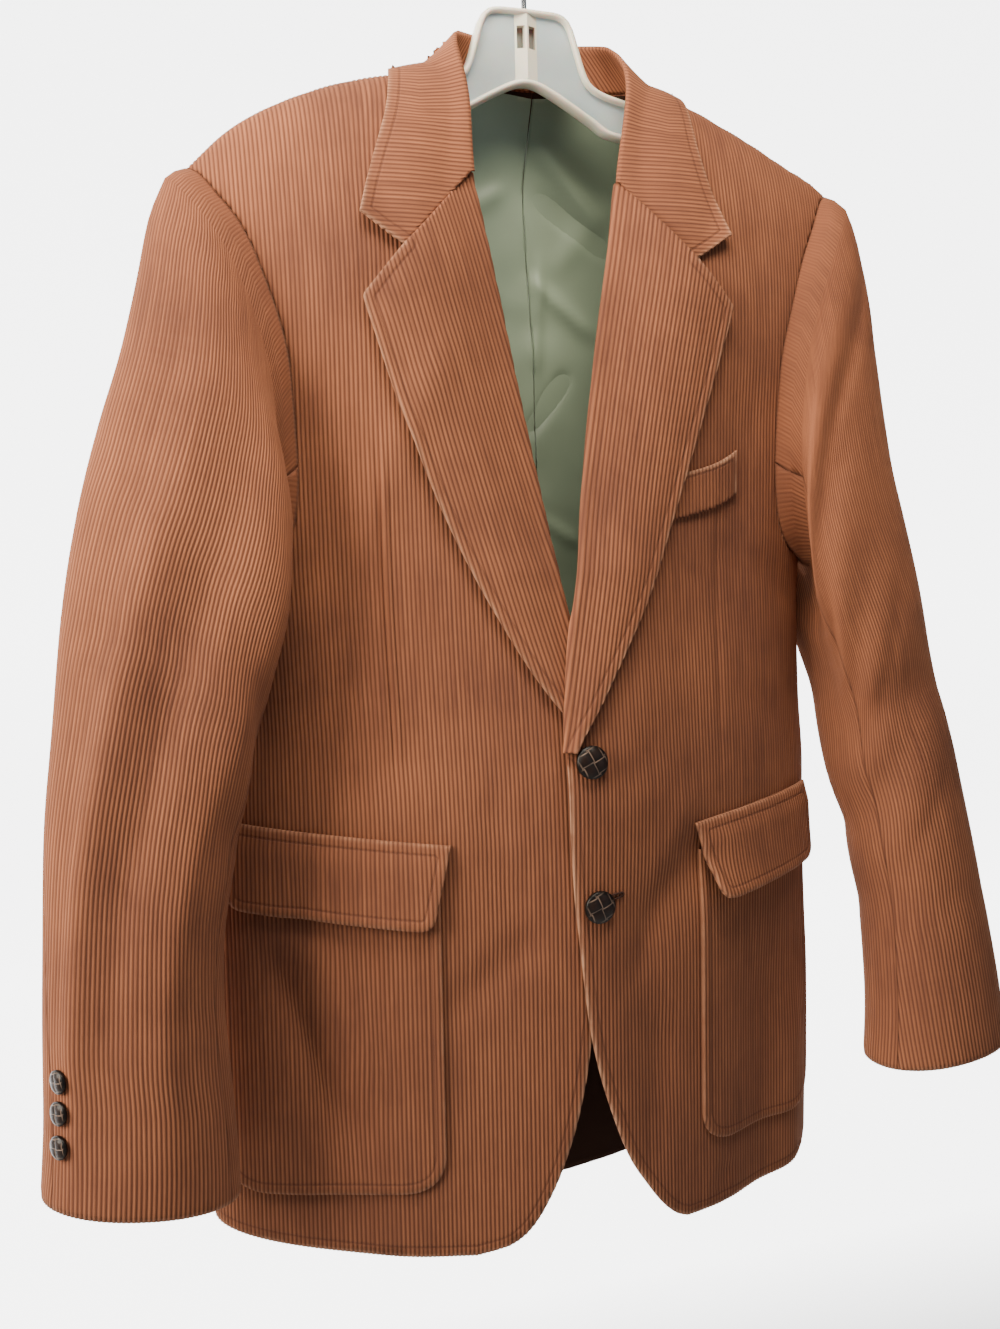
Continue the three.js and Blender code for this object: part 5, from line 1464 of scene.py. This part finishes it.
# Buttons: a dome of leather strips woven over and under each other
FRONT_BUTTONS = {"upper": (5.4, -575), "lower": (9.5, -672)}
FRONT_BUTTON = {"radius": 11, "height": 7}
CUFF_BUTTON = {"radius": 7.2, "height": 5}
CUFF_BUTTON_STEPS = [11.3, 11.68, 12.1]
CUFF_BUTTON_TURN = {RIGHT: 38, LEFT: -15}
BUTTON_RINGS = 34
BUTTON_AROUND = 96
# Leather strips across a button's radius
STRIPS = 1.3
# Rings of a button's side and base, as shares of its radius and height
SKIRT = [(1.0, 0.3), (0.95, 0.14), (0.7, 0.0)]


# Height of the woven strips, 0 to 1, and the distance in from a strip's edge, on a button of radius 1.
def weave_at(x, y):
    u, v = x * STRIPS + 0.5, y * STRIPS + 0.5
    over = (np.floor(u + 0.5) + np.floor(v + 0.5)) % 2 == 0
    across, along = np.where(over, u, v), np.where(over, v, u)
    strip = np.cos(math.pi * (across - np.round(across)))
    arch = np.cos(math.pi * (along - np.round(along)))
    weave = np.sqrt(np.clip(strip, 0, 1)) * (0.45 + 0.55 * arch)
    return weave, 0.5 - np.abs(across - np.round(across))


def sew_button(name, seat, normal, form, turn):
    radius, height = form["radius"], form["height"]
    turns = np.arange(BUTTON_AROUND) / BUTTON_AROUND * 2 * math.pi
    r, a = np.meshgrid(np.linspace(0.02, 1, BUTTON_RINGS), turns, indexing="ij")
    x, y = r * np.cos(a), r * np.sin(a)
    weave, gap = weave_at(x, y)
    fade = ease((1.02 - r) / 0.25)
    dome = height * (0.42 + 0.52 * np.sqrt(np.clip(1 - (r * 0.97) ** 2.6, 0, 1)))
    z = dome + 0.07 * radius * (weave - 0.5) * fade
    top = np.stack([radius * x, radius * y, z], axis=-1)
    skirt = [point(radius * k * np.cos(turns), radius * k * np.sin(turns), height * h) for k, h in SKIRT]
    rings = np.concatenate([top, np.array(skirt)])
    points = np.concatenate([rings.reshape(-1, 3), [[0, 0, z[0].mean()], [0, 0, 0]]])
    spin = Vector((0, 0, 1)).rotation_difference(Vector(normal)).to_matrix() @ Matrix.Rotation(turn, 3, "Z")
    verts = points @ np.array(spin).T + seat
    count, n = len(rings), BUTTON_AROUND
    faces = []
    for i in range(count - 1):
        for j in range(n):
            k = (j + 1) % n
            faces.append([i * n + j, (i + 1) * n + j, (i + 1) * n + k, i * n + k])
    centre, base = count * n, count * n + 1
    for j in range(n):
        k = (j + 1) % n
        faces.append([centre, j, k])
        faces.append([base, (count - 1) * n + k, (count - 1) * n + j])
    obj = make_object(f"woven_{name}", warp(verts), faces, [LEATHER])
    high = np.concatenate([(weave * fade).ravel(), np.full(len(SKIRT) * n, 0.3), [0.8, 0.0]])
    set_attribute(obj.data, "high", high)
    edge = bell(gap - 0.05, 0.035) * fade
    set_attribute(obj.data, "edge", np.concatenate([edge.ravel(), np.zeros(len(SKIRT) * n + 2)]))
    declare(obj, name)


for key, (x, z) in FRONT_BUTTONS.items():
    spot = (np.array([x]), np.array([z]))
    n = front_normal(*spot, LEFT)[0]
    seat = front_point(*spot, LEFT)[0] + n * (SEAM_GAP + 0.2)
    sew_button(f"button_front_{key}", seat, n, FRONT_BUTTON, 0.5)
for side in (RIGHT, LEFT):
    for i, step in enumerate(CUFF_BUTTON_STEPS):
        step, turn = np.array([step]), np.array([float(CUFF_BUTTON_TURN[side])])
        around = sleeve_point(step, turn + 2, side) - sleeve_point(step, turn - 2, side)
        down = sleeve_point(step + 0.15, turn, side) - sleeve_point(step - 0.15, turn, side)
        n = (unit(np.cross(around, down)) * side)[0]
        seat = sleeve_point(step, turn, side)[0] + n * (SEAM_GAP + 0.1)
        sew_button(f"button_cuff_{SIDE_NAME[side]}_{i + 1}", seat, n, CUFF_BUTTON, 0.8)


# Buttonholes: a ring of thread lying on the front, longer to the wearer's left of the button
BUTTONHOLES = {"upper": (-9, 10), "lower": (-6, 19)}
BUTTONHOLE = {"half_wide": 1.6, "cord": 0.75, "rise": 0.16, "above": 3, "around": 8}


def sew_buttonhole(key):
    x0, z0 = FRONT_BUTTONS[key]
    start, end = BUTTONHOLES[key]
    wide, cord = BUTTONHOLE["half_wide"], BUTTONHOLE["cord"]
    a = np.linspace(0, 2 * math.pi, 40, endpoint=False)
    middle, reach = (start + end) / 2, (end - start) / 2 - wide
    x = middle + np.sign(np.cos(a)) * reach * np.abs(np.cos(a)) ** 0.3 + wide * np.cos(a)
    z = wide * np.sign(np.sin(a)) * np.abs(np.sin(a)) ** 0.6 + BUTTONHOLE["rise"] * x
    path = np.stack([x0 + x, z0 + z + BUTTONHOLE["above"]], axis=1)
    seat = front_point(path[:, 0], path[:, 1], LEFT)
    out = front_normal(path[:, 0], path[:, 1], LEFT)
    along = unit(np.roll(seat, -1, axis=0) - np.roll(seat, 1, axis=0))
    across = np.cross(along, out)
    turns = np.linspace(0, 2 * math.pi, BUTTONHOLE["around"], endpoint=False)
    rings = [seat + 0.3 * out + cord * (across * math.cos(t) + out * (0.3 + math.sin(t))) for t in turns]
    verts = np.stack(rings, axis=1).reshape(-1, 3)
    faces = ring_faces(len(path), BUTTONHOLE["around"])
    declare(make_object(f"buttonhole_{key}", warp(verts), faces, [THREAD]))


for key in BUTTONHOLES:
    sew_buttonhole(key)


# Hanger: a thin panel with a ridge down its middle, in a rounded rim
HANGER = columns("x top bottom", [
    (0, -69, -118), (24, -69.5, -131), (30, -73, -134.5), (36, -92, -138), (43, -112, -142),
    (54, -119, -149), (75, -124, -152), (95, -128, -154), (118, -136, -158), (146, -148.5, -167),
    (174, -162.5, -179), (192, -173, -187), (197, -179, -185),
])
HANGER_END = 196.5
RIM = {"wide": 4.4, "deep": 12, "around": 12, "square": 0.7}
PANEL = {"half": 2.0, "ridge": 3.4, "ridge_half": 8.0}
WINDOW = {"z": -88, "tall": 15, "wide": 13, "bar": 2.6, "floor": 1.0, "pane": 1}


def hanger_outline():
    x = np.concatenate([np.linspace(0, 30, 9), np.linspace(32, 60, 15), np.linspace(64, HANGER_END, 26)])
    x = np.concatenate([-x[:0:-1], x])
    inset = RIM["wide"] / 2
    top = np.stack([x, HANGER["top"](np.abs(x)) - inset], axis=1)
    # The lower edge's point is rounded.
    low = np.stack([x, HANGER["bottom"](np.hypot(x, 5) - 5) + inset - 1.2 * np.exp(-((x / 7) ** 2))], axis=1)
    loop = np.concatenate([top, low[::-1]])
    for _ in range(2):
        loop = (np.roll(loop, 1, axis=0) + 2 * loop + np.roll(loop, -1, axis=0)) / 4
    return loop


def build_rim(material):
    loop = hanger_outline()
    along = unit(np.roll(loop, -1, axis=0) - np.roll(loop, 1, axis=0))
    across = np.stack([-along[:, 1], along[:, 0]], axis=1)
    turns = np.linspace(0, 2 * math.pi, RIM["around"], endpoint=False)
    rings = []
    for turn in turns:
        c, s = (math.copysign(abs(v) ** RIM["square"], v) for v in (math.cos(turn), math.sin(turn)))
        flat = loop + across * c * RIM["wide"] / 2
        rings.append(point(flat[:, 0], s * RIM["deep"] / 2, flat[:, 1]))
    verts = np.stack(rings, axis=1).reshape(-1, 3)
    return make_object("hanger_rim", tilted(verts), ring_faces(len(loop), RIM["around"]), [material])


# The hanger hangs as the shoulders do, and doesn't slide with the neck.
def tilted(p):
    p = np.asarray(p, float).copy()
    p[:, 2] = tilt(p[:, 0], p[:, 2])
    return p


# Heights of the panel's mesh lines in each column, with the window's edges among them.
def panel_rows(x, window):
    inset = RIM["wide"] * 0.6
    top = HANGER["top"](np.abs(x)) - inset
    bottom = HANGER["bottom"](np.abs(x)) + inset
    rows = [bottom, mix(bottom, top, 0.25), mix(bottom, top, 0.9), top]
    rows += [np.clip(level, bottom + 0.3, top - 0.3) for level in window]
    return np.sort(np.stack(rows), axis=0)


def build_panel(materials):
    half, bar = WINDOW["wide"] / 2, WINDOW["bar"] / 2
    low, high = WINDOW["z"] - WINDOW["tall"] / 2, WINDOW["z"] + WINDOW["tall"] / 2
    near = [0, bar, 3, 5, half, PANEL["ridge_half"], 10, 14, 19, 24, 28, 32, 36, 40, 46, 54, 64]
    x = np.concatenate([near, np.linspace(76, HANGER_END - 2, 14)])
    x = np.concatenate([-x[:0:-1], x])
    rows = panel_rows(x, (low, high))
    ridge = PANEL["ridge"] * np.clip(1 - np.abs(x) / PANEL["ridge_half"], 0, 1)
    face = -(PANEL["half"] + ridge)[None, :] + 0 * rows
    count, wide = rows.size, len(x)
    outer = point(x[None, :] + 0 * rows, face, rows).reshape(-1, 3)
    inner = outer * [1, -1, 1]
    faces, tones = [], []
    for i in range(len(rows) - 1):
        for j in range(wide - 1):
            middle = (x[j] + x[j + 1]) / 2
            level = rows[i:i + 2, j:j + 2].mean()
            if bar < abs(middle) < half and low < level < high:
                continue
            faces.append([i * wide + j, i * wide + j + 1, (i + 1) * wide + j + 1, (i + 1) * wide + j])
            tones.append(1 if abs(middle) < PANEL["ridge_half"] else 0)
    back, walls = close_sheet(faces, count)
    # A dark pane closes the window behind: a sheet of painted shade for the dark seen through it.
    pane = [(-half, low), (half, low), (half, high), (-half, high)]
    depths = (WINDOW["floor"], WINDOW["floor"] + WINDOW["pane"])
    corners = [(px, depth, pz) for depth in depths for px, pz in pane]
    box = [[0, 1, 2, 3], [7, 6, 5, 4], [0, 4, 5, 1], [1, 5, 6, 2], [2, 6, 7, 3], [3, 7, 4, 0]]
    box = [[k + 2 * count for k in f] for f in box]
    verts = tilted(np.concatenate([outer, inner, np.array(corners)]))
    obj = make_object("hanger_panel", verts, faces + back + walls + box, materials, smooth_faces=False)
    obj.data.polygons.foreach_set("material_index", tones * 2 + [1] * len(walls) + [2] * len(box))
    return obj


def build_hanger():
    cream = milky_plastic("hanger_cream", ((0.62, 0.58, 0.47), (0.74, 0.7, 0.6)), 0.0)
    pale = milky_plastic("hanger_milky", ((0.4, 0.47, 0.48), (0.52, 0.57, 0.56)), 0.25)
    # The window's pane is painted shade.
    pane = milky_plastic("hanger_shade_pane", ((0.1, 0.11, 0.09), (0.16, 0.165, 0.14)), 0.0)
    for piece in (build_rim(cream), build_panel([pale, cream, pane])):
        declare(piece, "hanger_body")


# The hook keeps its packed form.
def finish_node(name, material):
    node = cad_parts[name]
    node.data.materials.clear()
    node.data.materials.append(material)


build_hanger()
finish_node("hanger_hook", bright_steel("hook_steel"))


# Camera at the photograph's viewpoint, its frame 1000 by 1329
CAMERA = {"place": (-306, -907, -430), "pan": 17.0, "tilt": -5.15, "roll": -1.42, "focal": 1350}
FRAME_HIGH = 1329
SENSOR = 36


def place_camera():
    pan, tilt, roll = (math.radians(CAMERA[key]) for key in ("pan", "tilt", "roll"))
    ahead = Vector((math.sin(pan) * math.cos(tilt), math.cos(pan) * math.cos(tilt), math.sin(tilt)))
    level = Vector((math.cos(pan), -math.sin(pan), 0))
    upward = level.cross(ahead)
    right = math.cos(roll) * level + math.sin(roll) * upward
    up = -math.sin(roll) * level + math.cos(roll) * upward
    camera = bpy.data.objects.new("camera", bpy.data.cameras.new("camera"))
    camera.data.sensor_width = SENSOR
    camera.data.lens = CAMERA["focal"] / FRAME_HIGH * SENSOR
    camera.data.clip_start = 0.02
    turn = Matrix((right, up, -ahead)).transposed().to_4x4()
    camera.matrix_world = Matrix.Translation(Vector(CAMERA["place"]) * MM) @ turn
    bpy.context.scene.collection.objects.link(camera)
    bpy.context.scene.camera = camera


def area_light(name, place, target, size, power, colour):
    light = bpy.data.lights.new(name, "AREA")
    light.shape = "RECTANGLE"
    light.size, light.size_y = size
    light.energy = power
    light.color = colour
    lamp = bpy.data.objects.new(name, light)
    lamp.location = place
    lamp.rotation_euler = (Vector(target) - Vector(place)).to_track_quat("-Z", "Y").to_euler()
    bpy.context.scene.collection.objects.link(lamp)


# Area lights, in metres and watts: place, what it aims at, size, power and colour
WARM = (1, 0.91, 0.78)
COOL = (0.75, 0.88, 1)
LIGHTS = {
    "key": ((-1.25, -0.38, -0.05), (0, 0, -0.45), (0.8, 1.0), 50, WARM),
    "top": ((-0.1, -0.45, 0.45), (0, -0.05, -0.1), (0.7, 0.4), 18, WARM),
    "fill": ((0.9, -1.3, -0.2), (0, 0, -0.4), (1.2, 1.2), 2.5, COOL),
}
SKY = {"Color": (0.72, 0.86, 1, 1), "Strength": 0.13}


def light_scene():
    world = bpy.data.worlds.new("studio")
    bpy.context.scene.world = world
    world.use_nodes = True
    for key, value in SKY.items():
        world.node_tree.nodes["Background"].inputs[key].default_value = value
    for name, values in LIGHTS.items():
        area_light(name, *values)


BACKDROP = {"floor_z": -1350, "wall_y": 2800, "curve": 700, "front_y": -3000, "top_z": 3000, "half": 4000}


# A floor that curves up into a wall far behind.
def build_backdrop():
    floor_z, wall_y, curve, half = (BACKDROP[key] for key in ("floor_z", "wall_y", "curve", "half"))
    profile = [(BACKDROP["front_y"], floor_z)]
    for a in np.linspace(0, math.pi / 2, 16):
        profile.append((wall_y - curve + curve * math.sin(a), floor_z + curve * (1 - math.cos(a))))
    profile.append((wall_y, BACKDROP["top_z"]))
    verts = [(x, y, z) for x in (-half, half) for y, z in profile]
    n = len(profile)
    faces = [[i, i + 1, n + i + 1, n + i] for i in range(n - 1)]
    backdrop = make_object("backdrop", verts, faces, [backdrop_material("backdrop_paper")])


place_camera()
light_scene()
build_backdrop()
